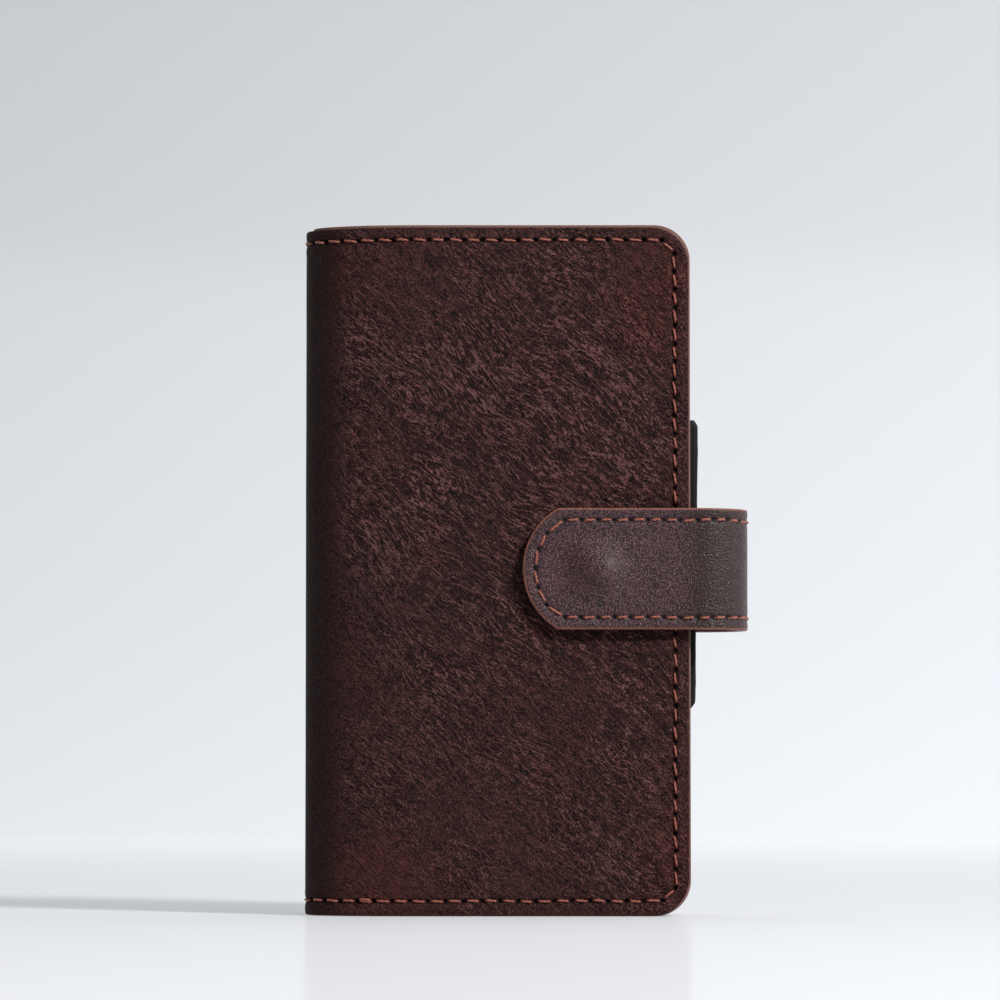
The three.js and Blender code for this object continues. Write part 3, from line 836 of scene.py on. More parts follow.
class Threads:
    """Stitches of two-ply thread, each a twisted tube that rises from one hole and dives in the
    next."""

    SIDES = 12
    RINGS = 22

    def __init__(self, name, course):
        self.name = name
        self.course = course
        self.verts = []
        self.faces = []
        self.flat = []
        self.ply = []

    def stitch(self, a, b, rng, width=0.46, rise=0.16, slant=0.2, gap=0.50, floor=-0.62):
        d = b - a
        length = float(np.hypot(*d))
        ahead = d / length
        side = np.array([ahead[1], -ahead[0]])
        t = np.linspace(0, 1, self.RINGS)
        run = gap + (length - 2 * gap + 0.1) * t
        ends = smooth(run, gap - 0.02, gap + 0.75)
        ends = ends * (1 - smooth(run, length - gap - 0.6, length - gap + 0.1))
        level = floor + (rise - floor) * ends + rng.normal(0, 0.015)
        sway = (t - 0.5) * 2 * slant + 0.05 * np.sin(math.pi * t) * rng.normal(0, 1)
        centre = a + run[:, None] * ahead + sway[:, None] * side
        spin = rng.uniform(0, 6.28)
        turn = np.linspace(0, 2 * math.pi, self.SIDES, endpoint=False)
        twist = run[:, None] * 2 * math.pi / 2.1 + spin
        radius = 0.5 * width * (1 + 0.16 * np.cos(2 * (turn[None, :] - twist)))
        radius = radius * (0.8 + 0.2 * ends)[:, None]
        across = radius * np.cos(turn)[None, :]
        up = radius * np.sin(turn)[None, :] * 0.82
        s = centre[:, :1] + across * side[0]
        z = centre[:, 1:] + across * side[1]
        depth = -(level[:, None] + up)
        start = sum(len(v) for v in self.verts)
        self.verts.append(self.course.at(s, z, depth).reshape(-1, 3))
        self.flat.append(np.stack([run[:, None] + 0 * s, across, depth], -1).reshape(-1, 3))
        self.ply.append(np.cos(2 * (turn[None, :] - twist)).ravel())
        index = np.arange(start, start + s.size).reshape(s.shape)
        quads = tube_quads(index)
        if self.course.outward > 0:
            quads = quads[:, ::-1]
        self.faces.extend(quads.tolist())
        caps = (index[0][::-1].tolist(), index[-1].tolist())
        self.faces.extend(c[::-1] if self.course.outward > 0 else c for c in caps)

    def build(self):
        verts = np.concatenate(self.verts).tolist()
        mesh = add_mesh(self.name, verts, self.faces, np.ones(len(self.faces), bool))
        set_vector(mesh, "flat", np.concatenate(self.flat))
        set_value(mesh, "ply", np.concatenate(self.ply))
        mesh.validate()
        return add_object(self.name, mesh)


def cover_thread(name, course, holes, seed):
    threads = Threads(name, course)
    rng = np.random.default_rng(seed)
    for a, b in zip(holes, holes[1:]):
        vertical = abs(b[1] - a[1]) > abs(b[0] - a[0])
        slant = -0.26 if vertical else 0.16
        if not vertical and a[1] < CASE_HEIGHT / 2:
            slant = 0.1
        threads.stitch(a, b, rng, slant=slant)
    # the seam's locked end, sewn twice
    low = [k for k in range(len(holes)) if holes[k][1] < 6]
    k = min(low, key=lambda j: abs(course.plan(holes[j][0])[0] - 16))
    side = np.array([0.0, 0.32])
    threads.stitch(holes[k] + side, holes[k + 1] + side, rng, width=0.5, rise=0.3, slant=0.05)
    return threads.build()


def strap_thread(name, course, groups, seed):
    threads = Threads(name, course)
    rng = np.random.default_rng(seed)
    for holes in groups:
        for a, b in zip(holes, holes[1:]):
            threads.stitch(a, b, rng, width=0.52, rise=0.12, slant=0.1)
    return threads.build()


# ------------------------------------------------------------------ linings and pockets

def lining_depth(course, s, depths, span):
    """How deep the lining's inner face lies: shallow in the bend, deep where the cover is flat."""
    shallow, deep = depths
    return shallow + (deep - shallow) * smooth(course.plan(s)[0], *span)


def inner_course(course, depths, span):
    """The line of the lining's visible face."""
    depth = lining_depth(course, course.s, depths, span)
    x, y = course.plan(course.s, depth)
    return Course(np.stack([x, y], axis=1), -course.outward)


FRONT_INNER = inner_course(FRONT, *FRONT_LINING)
BACK_INNER = inner_course(BACK, *BACK_LINING)


def cover_lining(name, course, depths, span, windowed, seed):
    """A cover's lining, sewn round three sides, its pale cut edge proud of the leather's."""
    outer = 0.25
    rng = np.random.default_rng(seed)
    q = QUICK
    end = course.s_of_x(CASE_WIDTH + LINING_PROUD[2] - outer)
    columns = spaced([(0, 0.8 * q), (end - 5, 0.8 * q), (end - 3.6, 0.3 * q), (end, 0.3 * q)])
    s, z = cover_grid(course, columns, (outer, -LINING_PROUD[1] + outer),
                      -LINING_PROUD[2] + outer, CORNER - 0.2, int(30 / QUICK), 0.8)
    hole = None
    if windowed:
        s, z, hole = open_window(course, s, z, outer)
    holes = seam_holes(course, rng)
    nap = Noise(seed)
    x = course.plan(s)[0]
    calm = smooth(cover_edge(x, z), 0.5, 5)
    height = (0.10 * nap(s / 22, z / 26) + 0.03 * nap(s / 5 + 7, z / 6)) * calm
    if windowed:
        height *= smooth(window_distance(x, z), 0.3, 4.0)
        height += seam_dent(s.ravel(), z.ravel(), holes).reshape(s.shape) * 0.6
    profile = edge_profile(1.0, outer, 0.12)

    def thick(at):
        return lining_depth(course, at, depths, span) - LINING_SKIN

    sheet = Sheet(name, course, s, z, height, profile, hole=hole, thick=thick)

    def extra(fs, fz, edge):
        fx = course.plan(fs)[0]
        rim = np.minimum(edge, np.maximum(cover_edge(fx, fz) + 0.1, 0))
        if windowed:
            rim = np.minimum(rim, np.maximum(window_distance(fx, fz), 0))
        return {"edge": rim}

    return sheet.build(extra), holes


def pocket_line(y):
    return Course([(x, y) for x in np.linspace(POCKET_LEFT, CASE_WIDTH, 90)], -1)


def pocket(name, y, top, seed):
    """One flat pocket leather: turned-in edges, a creased line along its mouth, sewn sides."""
    course = pocket_line(y)
    outer, inset = 0.18, 0.4
    q = QUICK
    right = CASE_WIDTH - inset - outer
    columns = outer + spaced([(0, 0.6 * q), (course.s_of_x(right) - 5.5, 0.6 * q),
                              (course.s_of_x(right) - outer, 0.3 * q)])
    radius = CORNER - inset - outer
    low = inset + outer
    high = top - (inset + outer if top >= CASE_HEIGHT else outer)
    bend = corner_rise(int(18 / q) + 2)
    rows = [low + radius - radius * bend[::-1]]
    full = top >= CASE_HEIGHT
    if full:
        rows += [spaced([(low + radius, 0.7 * q), (high - radius, 0.7 * q)])[1:-1]]
        rows += [high - radius + radius * bend]
    else:
        rows += [spaced([(low + radius, 0.7 * q), (high - 3, 0.7 * q), (high, 0.25 * q)])[1:]]
    rows = np.concatenate(rows)
    drop = corner_drop(rows, low, high if full else math.inf, radius)
    weight = smooth(columns, columns[-1] - 25, columns[-1])[:, None]
    s = columns[:, None] - weight * drop[None, :]
    z = np.broadcast_to(rows[None, :], s.shape).copy()
    soft = Noise(seed)
    fold = Noise(seed + 1)
    from_mouth = top - z
    inside = smooth(np.minimum(np.minimum(s, right - POCKET_LEFT - s), np.minimum(z, from_mouth)),
                    0.3, 5)
    height = (0.10 * soft(s / 20, z / 24) + 0.03 * soft(s / 6, z / 7 + 9)) * inside
    height = height + 0.016 * fold(s / 0.9, z / 1.1)
    crease = 0.14 * np.exp(-((from_mouth - 2.0) / 0.28) ** 2)
    height -= 0 if full else crease
    height -= 0.12 * np.exp(-((s - 2.0) / 0.28) ** 2)
    profile = edge_profile(POCKET_THICK, outer, 0.12)
    sheet = Sheet(name, course, s, z, height, profile, near_cut=True)

    def extra(fs, fz, edge):
        near = np.minimum(np.minimum(fs, course.length - inset - fs), fz - inset)
        near = np.minimum(near, top - fz)
        return {
            "edge": np.minimum(edge, np.maximum(near - 0.1, 0)),
            "pierced": np.zeros(fs.shape),
            "calm": 0.7 + 0 * fs,
            "patch": -0.2 + 0.5 * soft(fs / 15 + 3, fz / 18),
            "folds": 0.5 * fold(fs / 0.9, fz / 1.1),
        }

    return sheet.build(extra)


def stack_height(x, z):
    """How far the front's pockets stand above the lining's face."""
    face = FRONT_LINING[0][1]
    levels = [y - face for _piece, _node, y, top in POCKETS if z < top]
    return levels[-1] if x > POCKET_LEFT and levels else 0.0


def inside_thread(name, course, holes, seed, lifted):
    threads = Threads(name, course)
    rng = np.random.default_rng(seed)
    for a, b in zip(holes, holes[1:]):
        lift = 0.0
        if lifted:
            xa, xb = course.plan(a[0])[0], course.plan(b[0])[0]
            lift = max(stack_height(xa, a[1]), stack_height(xb, b[1]))
        threads.stitch(a, b, rng, rise=0.16 + lift, slant=0.1, floor=-0.5 + lift)
    return threads.build()


# ------------------------------------------------------------------ the phone holder

def rounded_loop(corners, steps=4):
    """A closed line with each corner (a, y, radius) rounded."""
    points = []
    count = len(corners)
    for k in range(count):
        p = np.array(corners[k][:2], float)
        before = np.array(corners[k - 1][:2], float) - p
        after = np.array(corners[(k + 1) % count][:2], float) - p
        before /= np.linalg.norm(before)
        after /= np.linalg.norm(after)
        cut = corners[k][2]
        for t in np.linspace(0, 1, steps + 1):
            a = p + before * cut * (1 - t)
            b = p + after * cut * t
            points.append(a * (1 - t) + b * t)
    return np.array(points)


def channel(name, wall, length, place, taper, seed):
    """One holder channel: a hooked section run along its length, its ends eased off."""
    loop = rounded_loop([
        (-1.1, LIP_Y, 0.3), (wall, LIP_Y, 0.9), (wall, HOLDER_BACK_Y, 0.5),
        (-2.5, HOLDER_BACK_Y, 0.2), (-2.5, HOLDER_BACK_Y - 1.15, 0.3),
        (0.0, HOLDER_BACK_Y - 1.25, 0.8), (0.0, LIP_Y + 1.0, 0.35), (-1.1, LIP_Y + 0.75, 0.25),
    ])
    ends = np.array([0, 0.12, 0.35, 0.7, 1.2, 1.8])
    middle = np.linspace(1.8, length - 1.8, max(6, int(length / 1.3)))[1:-1]
    run = np.concatenate([ends, middle, (length - ends)[::-1]])
    rng = Noise(seed)
    verts = []
    for w in run:
        from_end = min(w, length - w)
        ease = smooth(from_end, -0.4, 1.5)
        a = loop[:, 0].copy()
        y = loop[:, 1].copy()
        outside = np.clip(a, 0, None)
        a = np.where(a > 0, a - outside * (0.42 * (1 - ease)), a * (0.75 + 0.25 * ease))
        soft = 0.16 * rng(w / 7.0, 0.5) + 0.07 * rng(w / 2.3, 3.5)
        a = a + (soft - taper * (1 - w / length)) * smooth(outside, 0.3, wall)
        middle_y = (LIP_Y + HOLDER_BACK_Y) / 2
        y = middle_y + (y - middle_y) * (0.96 + 0.04 * ease)
        verts.append(place(a, y, w))
    rings = np.stack(verts)
    m, k = rings.shape[:2]
    index = np.arange(m * k).reshape(m, k)
    quads = tube_quads(index).tolist()
    faces = quads + [index[0][::-1].tolist(), index[-1].tolist()]
    shade = np.arange(len(faces)) < len(quads)
    mesh = add_mesh(name, rings.reshape(-1, 3).tolist(), faces, shade)
    outward(mesh)
    return add_object(name, mesh)


def outward(mesh):
    """Turns every face to point out of a closed mesh."""
    work = bmesh.new()
    work.from_mesh(mesh)
    bmesh.ops.recalc_face_normals(work, faces=work.faces)
    work.to_mesh(mesh)
    work.free()


def holder_tray():
    course = Course([(x, 16.1) for x in np.linspace(PHONE_LEFT, PHONE_RIGHT, 90)], 1)
    outer = 0.2
    q = QUICK
    columns = np.linspace(outer, course.length - outer, int(90 / q))
    radius = 9 - outer
    low, high = PHONE_BOTTOM + outer, PHONE_TOP - outer
    bend = corner_rise(int(16 / q) + 2)
    rows = np.concatenate([
        low + radius - radius * bend[::-1],
        spaced([(low + radius, 0.8 * q), (high - radius, 0.8 * q)])[1:-1],
        high - radius + radius * bend,
    ])
    drop = corner_drop(rows, low, high, radius)
    middle = course.length / 2
    sway = (columns - middle) / (middle - outer)
    weight = np.sign(sway) * smooth(np.abs(sway), 0.35, 1.0)
    s = columns[:, None] - weight[:, None] * drop[None, :]
    z = np.broadcast_to(rows[None, :], s.shape).copy()
    s, z, hole = open_window(course, s, z, outer)
    ripple = Noise(91)
    height = 0.05 * ripple(s / 14, z / 14)
    sheet = Sheet("holder_tray", course, s, z, height * 0.5, edge_profile(1.0, outer, 0.15),
                  near_cut=True, hole=hole)
    return sheet.build()


def holder_channels():
    """The two side grips and the four end clips."""
    middle_x = (PHONE_LEFT + PHONE_RIGHT) / 2
    grip = GRIP_HIGH - GRIP_LOW
    made = [
        channel("holder_grip_fore", GRIP_WALL, grip,
                lambda a, y, w: world(PHONE_RIGHT + PHONE_PLAY + a, y, GRIP_LOW + w), 0.7, 51),
        channel("holder_grip_spine", GRIP_WALL, grip,
                lambda a, y, w: world(PHONE_LEFT - PHONE_PLAY - a, y, GRIP_LOW + w), 0.3, 52),
    ]
    for k, (side, end) in enumerate(((-1, -1), (1, -1), (-1, 1), (1, 1))):
        start = middle_x + side * CLIP_OFFSET - CLIP_WIDTH / 2
        face = PHONE_TOP + PHONE_PLAY if end > 0 else PHONE_BOTTOM - PHONE_PLAY
        made.append(channel(
            f"holder_clip_{k + 1}", CLIP_WALL, CLIP_WIDTH,
            lambda a, y, w, face=face, end=end, start=start: world(start + w, y, face + end * a),
            0.0, 60 + k))
    return made


# ------------------------------------------------------------------ materials

class Net:
    """Short calls for a material's nodes."""

    def __init__(self, name):
        self.mat = bpy.data.materials.new(name)
        self.mat.use_nodes = True
        self.tree = self.mat.node_tree
        self.tree.nodes.clear()
        self.out = self.tree.nodes.new("ShaderNodeOutputMaterial")
        self.bsdf = self.tree.nodes.new("ShaderNodeBsdfPrincipled")
        self.tree.links.new(self.bsdf.outputs[0], self.out.inputs[0])

    def put(self, socket, value):
        if isinstance(value, bpy.types.NodeSocket):
            self.tree.links.new(value, socket)
        elif isinstance(value, tuple) and len(value) == 3 and socket.type == "RGBA":
            socket.default_value = (*value, 1)
        else:
            socket.default_value = value

    def set(self, **values):
        for key, value in values.items():
            self.put(self.bsdf.inputs[key.replace("_", " ")], value)

    def attribute(self, name, output="Vector"):
        node = self.tree.nodes.new("ShaderNodeAttribute")
        node.attribute_name = name
        return node.outputs[output]

    def coords(self):
        return self.tree.nodes.new("ShaderNodeTexCoord").outputs["Object"]

    def math(self, kind, a, b=0.0, clamp=False):
        node = self.tree.nodes.new("ShaderNodeMath")
        node.operation = kind
        node.use_clamp = clamp
        self.put(node.inputs[0], a)
        self.put(node.inputs[1], b)
        return node.outputs[0]

    def vector(self, kind, a, b=(0, 0, 0), scale=None):
        node = self.tree.nodes.new("ShaderNodeVectorMath")
        node.operation = kind
        self.put(node.inputs[0], a)
        if kind == "SCALE":
            self.put(node.inputs["Scale"], scale)
        else:
            self.put(node.inputs[1], b)
        return node.outputs[0]

    def mapping(self, vector, scale=(1, 1, 1), turn=0.0):
        node = self.tree.nodes.new("ShaderNodeMapping")
        node.vector_type = "POINT"
        self.put(node.inputs["Vector"], vector)
        node.inputs["Rotation"].default_value = (0, 0, math.radians(turn))
        node.inputs["Scale"].default_value = scale
        return node.outputs[0]

    def turn(self, vector, degrees):
        node = self.tree.nodes.new("ShaderNodeVectorRotate")
        node.rotation_type = "Z_AXIS"
        self.put(node.inputs["Vector"], vector)
        node.inputs["Angle"].default_value = math.radians(degrees)
        return node.outputs[0]

    def noise(self, vector, scale, detail=2.0, rough=0.5, output="Fac"):
        node = self.tree.nodes.new("ShaderNodeTexNoise")
        self.put(node.inputs["Vector"], vector)
        node.inputs["Scale"].default_value = scale
        node.inputs["Detail"].default_value = detail
        node.inputs["Roughness"].default_value = rough
        return node.outputs[output]

    def cells(self, vector):
        """Distance to the nearest cell point."""
        node = self.tree.nodes.new("ShaderNodeTexVoronoi")
        self.put(node.inputs["Vector"], vector)
        node.inputs["Scale"].default_value = 1.0
        return node.outputs["Distance"]

    def span(self, value, low, high, a=0.0, b=1.0, soft=True):
        node = self.tree.nodes.new("ShaderNodeMapRange")
        node.interpolation_type = "SMOOTHSTEP" if soft else "LINEAR"
        self.put(node.inputs[0], value)
        for k, v in zip((1, 2, 3, 4), (low, high, a, b)):
            self.put(node.inputs[k], v)
        return node.outputs[0]

    def mix(self, share, a, b):
        node = self.tree.nodes.new("ShaderNodeMix")
        node.data_type = "RGBA"
        self.put(node.inputs[0], share)
        self.put(node.inputs[6], a)
        self.put(node.inputs[7], b)
        return node.outputs[2]

    def bump(self, height, distance, strength=1.0):
        node = self.tree.nodes.new("ShaderNodeBump")
        node.inputs["Strength"].default_value = strength
        node.inputs["Distance"].default_value = distance
        self.put(node.inputs["Height"], height)
        return node.outputs[0]


def drawn_out(net, flat, across, along, turn, bend, ripple):
    """Sheet coordinates stretched along one diagonal, with a slow drift and a fine ripple."""
    drift = net.noise(flat, 0.045, 2.0, output="Color")
    drift = net.vector("SCALE", net.vector("SUBTRACT", drift, (0.5, 0.5, 0.5)), scale=bend)
    wave = net.noise(flat, 0.8, 2.0, output="Color")
    wave = net.vector("SCALE", net.vector("SUBTRACT", wave, (0.5, 0.5, 0.5)), scale=ripple)
    moved = net.vector("ADD", net.vector("ADD", flat, drift), wave)
    turned = net.turn(moved, turn)
    return net.vector("MULTIPLY", turned, (1 / across, 1 / along, 1 / across))


def hide_pebbles(net, flat, across, along, turn):
    """Fine grain: small rounded pebbles with sharp creases between them, about 0 to 1."""
    place = drawn_out(net, flat, across, along, turn, 4.0, 0.30)
    cells = net.span(net.cells(place), 0.05, 0.80, 1.0, 0.0)
    small = net.noise(place, 2.1, 2.0, 0.6)
    return net.math("ADD", net.math("MULTIPLY", cells, 0.65), net.math("MULTIPLY", small, 0.45))


def hide_creases(net, flat, across, along, turn, width):
    """Longer creases along one diagonal: thin crests, 1 on the crest, 0 between."""
    place = drawn_out(net, flat, across, along, turn, 9.0, 0.5)
    wave = net.noise(place, 1.0, 3.0, 0.55)
    from_crest = net.math("ABSOLUTE", net.math("SUBTRACT", wave, 0.5))
    return net.span(from_crest, 0.0, width, 1.0, 0.0)


def cover_leather():
    net = Net("cover_leather_hide")
    flat = net.attribute("flat")
    calm = net.attribute("calm", "Fac")
    patch = net.attribute("patch", "Fac")
    pierced = net.attribute("pierced", "Fac")
    edge = net.attribute("edge", "Fac")
    folds = net.attribute("folds", "Fac")
    loud = net.math("MULTIPLY", net.attribute("creased", "Fac"),
                    net.span(calm, 0.0, 0.8, 1.0, 0.12))
    pebbles = net.math("SUBTRACT", hide_pebbles(net, flat, 0.40, 0.56, CREASE_WAY), 0.62)
    crests = hide_creases(net, flat, 1.15, 6.6, -50, 0.062)
    crests = net.math("MULTIPLY", net.math("SUBTRACT", crests, 0.22), loud)
    wrinkles = hide_creases(net, flat, 0.50, 1.5, -50, 0.100)
    wrinkles = net.math("MULTIPLY", net.math("SUBTRACT", wrinkles, 0.35),
                        net.span(loud, 0.0, 1.0, 0.35, 1.0))
    grain = net.math("ADD", net.math("MULTIPLY", pebbles, 0.62),
                     net.math("MULTIPLY", wrinkles, 0.36))
    fine = net.math("ADD", grain, net.math("MULTIPLY", crests, 0.95))
    relief = net.math("ADD", net.math("MULTIPLY", grain, 1.1),
                      net.math("MULTIPLY", crests, 0.62))
    relief = net.math("ADD", relief, net.math("MULTIPLY", folds, 0.16))
    # Darker in the grain's pits and lighter on its crests: partly the hide's own tone, partly
    # painted shade in the pits and painted highlight on the crests.
    pit = (0.0026, 0.0007, 0.0007)
    body = (0.0345, 0.0105, 0.0094)
    crest_wear_and_highlight = (0.165, 0.076, 0.070)
    tone = net.mix(net.span(relief, -0.42, 0.12), pit, body)
    tone = net.mix(net.span(relief, 0.03, 0.80, 0.0, 0.9), tone, crest_wear_and_highlight)
    redder = net.span(patch, 0.1, 1.0, 0.0, 0.38)
    redder = net.math("MULTIPLY", redder, net.span(relief, -0.4, 0.3, 0.25, 1.0))
    darker = net.span(patch, 0.0, -0.8, 0.0, 0.4)
    tone = net.mix(redder, tone, (0.066, 0.0135, 0.0090))
    tone = net.mix(darker, tone, (0.010, 0.0042, 0.0040))
    # Darker where calm is high: painted shade toward the spine, where the cover turns away from the
    # light.
    tone = net.mix(net.span(calm, 0.2, 1.0, 0.0, 0.65), tone, (0.009, 0.0022, 0.0018))
    rim = net.span(edge, 0.0, 0.24, 1.0, 0.0)
    tone = net.mix(net.math("MULTIPLY", rim, 0.75), tone, (0.075, 0.023, 0.017))
    # Stitch holes near black: painted shade inside the holes.
    tone = net.mix(pierced, tone, (0.0012, 0.0006, 0.0006))
    rough = net.span(relief, -0.3, 0.5, 0.60, 0.36)
    rough = net.math("ADD", rough, net.math("MULTIPLY", pierced, 0.4), clamp=True)
    normal = net.bump(fine, 0.00036, 1.0)
    net.set(Base_Color=tone, Roughness=rough, Normal=normal)
    net.set(Specular_IOR_Level=0.10, IOR=1.48)
    return net.mat


def strap_leather():
    net = Net("strap_leather_hide")
    flat = net.attribute("flat")
    pierced = net.attribute("pierced", "Fac")
    edge = net.attribute("edge", "Fac")
    rub = net.attribute("rub", "Fac")
    broad = net.noise(flat, 0.13, 3.0, 0.6)
    pebbles = net.math("SUBTRACT", hide_pebbles(net, flat, 0.42, 0.50, -40), 0.62)
    crests = hide_creases(net, flat, 0.9, 1.8, -40, 0.09)
    relief = net.math("ADD", pebbles, net.math("MULTIPLY", crests, 0.22))
    # Dark between the pebbles, lighter and purple on them: partly the hide's own grain, partly
    # painted highlight and painted reflection of the pale surroundings.
    tone = net.mix(net.span(relief, -0.35, 0.35), (0.0105, 0.0030, 0.0040), (0.074, 0.031, 0.037))
    tone = net.mix(net.span(broad, 0.48, 0.72, 0.0, 0.4), tone, (0.070, 0.022, 0.017))
    # Near black round the fore bend: painted shade where the strap turns away from the light.
    tone = net.mix(net.math("MULTIPLY", rub, 0.93), tone, (0.0130, 0.0033, 0.0027))
    rim = net.span(edge, 0.0, 0.40, 1.0, 0.0)
    tone = net.mix(net.math("MULTIPLY", rim, 0.85), tone, (0.17, 0.058, 0.038))
    # Stitch holes near black: painted shade inside the holes.
    tone = net.mix(pierced, tone, (0.0012, 0.0006, 0.0006))
    rough = net.span(relief, -0.35, 0.35, 0.48, 0.32)
    rough = net.math("ADD", rough, net.math("MULTIPLY", pierced, 0.4), clamp=True)
    normal = net.bump(relief, 0.00016, 1.0)
    net.set(Base_Color=tone, Roughness=rough, Normal=normal)
    net.set(Specular_IOR_Level=0.28, IOR=1.5, Coat_Weight=0.05, Coat_Roughness=0.26)
    return net.mat


def thread_material():
    net = Net("waxed_thread")
    flat = net.attribute("flat")
    ply = net.attribute("ply", "Fac")
    fibre = net.noise(net.mapping(flat, (3.0, 14.0, 14.0), 20), 1.0, 3.0, 0.6)
    groove = net.span(ply, -0.9, 0.2, 1.0, 0.0)
    tone = net.mix(net.span(fibre, 0.3, 0.7), (0.145, 0.031, 0.018), (0.31, 0.086, 0.048))
    # Darker in the groove between the plies: painted shade.
    tone = net.mix(net.math("MULTIPLY", groove, 0.55), tone, (0.08, 0.013, 0.008))
    normal = net.bump(fibre, 0.00004, 0.8)
    net.set(Base_Color=tone, Roughness=0.55, Normal=normal)
    net.set(Specular_IOR_Level=0.45, Sheen_Weight=0.15, Sheen_Roughness=0.4)
    return net.mat


def lining_material():
    net = Net("lining_suede")
    flat = net.attribute("flat")
    edge = net.attribute("edge", "Fac")
    nap = net.noise(net.mapping(flat, (2.2, 6.5, 4.0), 12), 1.0, 4.0, 0.7)
    cloud = net.noise(flat, 0.06, 3.0, 0.6)
    tone = net.mix(net.span(nap, 0.3, 0.75), (0.016, 0.0085, 0.0074), (0.046, 0.026, 0.0215))
    tone = net.mix(net.span(cloud, 0.35, 0.7, 0.0, 0.5), tone, (0.030, 0.016, 0.014))
    rim = net.span(edge, 0.0, 0.35, 1.0, 0.0)
    grit = net.noise(flat, 5.0, 3.0, 0.7)
    pale = net.mix(net.span(grit, 0.35, 0.7), (0.15, 0.075, 0.062), (0.28, 0.16, 0.136))
    tone = net.mix(rim, tone, pale)
    normal = net.bump(nap, 0.00008, 0.7)
    net.set(Base_Color=tone, Roughness=0.85, Normal=normal)
    net.set(Specular_IOR_Level=0.2, Sheen_Weight=0.12, Sheen_Roughness=0.5)
    return net.mat


def plain_material(name, dark, light, rough, scale, bump, metallic=0.0, stretch=(1, 1, 1)):
    """A procedural finish for a CAD node that mostly lies inside: fine speckle and soft clouds."""
    net = Net(name)
    place = net.mapping(net.coords(), tuple(1000 * k for k in stretch))
    speck = net.noise(place, scale, 4.0, 0.65)
    cloud = net.noise(place, scale * 0.06, 2.0)
    tone = net.mix(net.span(speck, 0.3, 0.7), dark, light)
    tone = net.mix(net.span(cloud, 0.4, 0.7, 0.0, 0.4), tone, dark)
    net.set(Base_Color=tone, Roughness=net.span(speck, 0.3, 0.7, rough + 0.1, rough - 0.08),
            Normal=net.bump(speck, bump * MM, 0.8))
    net.set(Metallic=metallic)
    return net.mat


# ------------------------------------------------------------------ camera, floor and light

CAMERA_X = -5.9
CAMERA_HEIGHT = 30.7
CAMERA_AWAY = 1100.0
FRAME_WIDTH = 222.2
AIM_Z = 92.4
SENSOR_WIDTH = 36.0


def camera():
    data = bpy.data.cameras.new("camera")
    data.sensor_width = SENSOR_WIDTH
    data.lens = SENSOR_WIDTH * CAMERA_AWAY / FRAME_WIDTH
    data.clip_start = 0.01
    data.clip_end = 30.0
    place = (CAMERA_X * MM, -(CAMERA_AWAY + ORIGIN_Y) * MM, CAMERA_HEIGHT * MM)
    pitch = math.atan2(AIM_Z - CAMERA_HEIGHT, CAMERA_AWAY)
    bpy.context.scene.camera = add_object("camera", data, place, (math.pi / 2 + pitch, 0, 0))


def area_light(name, place, aim, size, power, colour):
    data = bpy.data.lights.new(name, "AREA")
    data.shape = "RECTANGLE"
    data.size, data.size_y = size
    data.energy = power
    data.color = colour
    from_aim = np.array(place) - np.array(aim)
    yaw = math.atan2(from_aim[0], -from_aim[1])
    tilt = math.acos(from_aim[2] / np.linalg.norm(from_aim))
    add_object(name, data, place, (tilt, 0, yaw))


FLOOR_RADIUS = 1.7
COVE_RADIUS = 1.6
WALL_HEIGHT = 3.6
FLOOR_GLOW = 0.25
WALL_GLOW = 0.58


def sweep():
    """One seamless sheet: a round floor whose rim curves up into a wall, far from the object."""
    line = [(r, 0.0) for r in np.linspace(0.05, FLOOR_RADIUS, 24)]
    for a in np.linspace(0, math.pi / 2, 50)[1:]:
        line.append((FLOOR_RADIUS + COVE_RADIUS * math.sin(a),
                     COVE_RADIUS - COVE_RADIUS * math.cos(a)))
    line.append((FLOOR_RADIUS + COVE_RADIUS, WALL_HEIGHT))
    around = 120
    verts = []
    for r, z in line:
        for k in range(around):
            turn = 2 * math.pi * k / around
            verts.append((r * math.sin(turn), r * math.cos(turn), z))
    faces = [tuple(range(around))[::-1]]
    for j in range(len(line) - 1):
        for k in range(around):
            n = (k + 1) % around
            faces.append((j * around + k, j * around + n, (j + 1) * around + n,
                          (j + 1) * around + k))
    mesh = add_mesh("floor", verts, faces, np.ones(len(faces), bool))
    outward(mesh)
    mesh.flip_normals()
    mesh.materials.append(floor_paper())
    obj = add_object("floor", mesh)


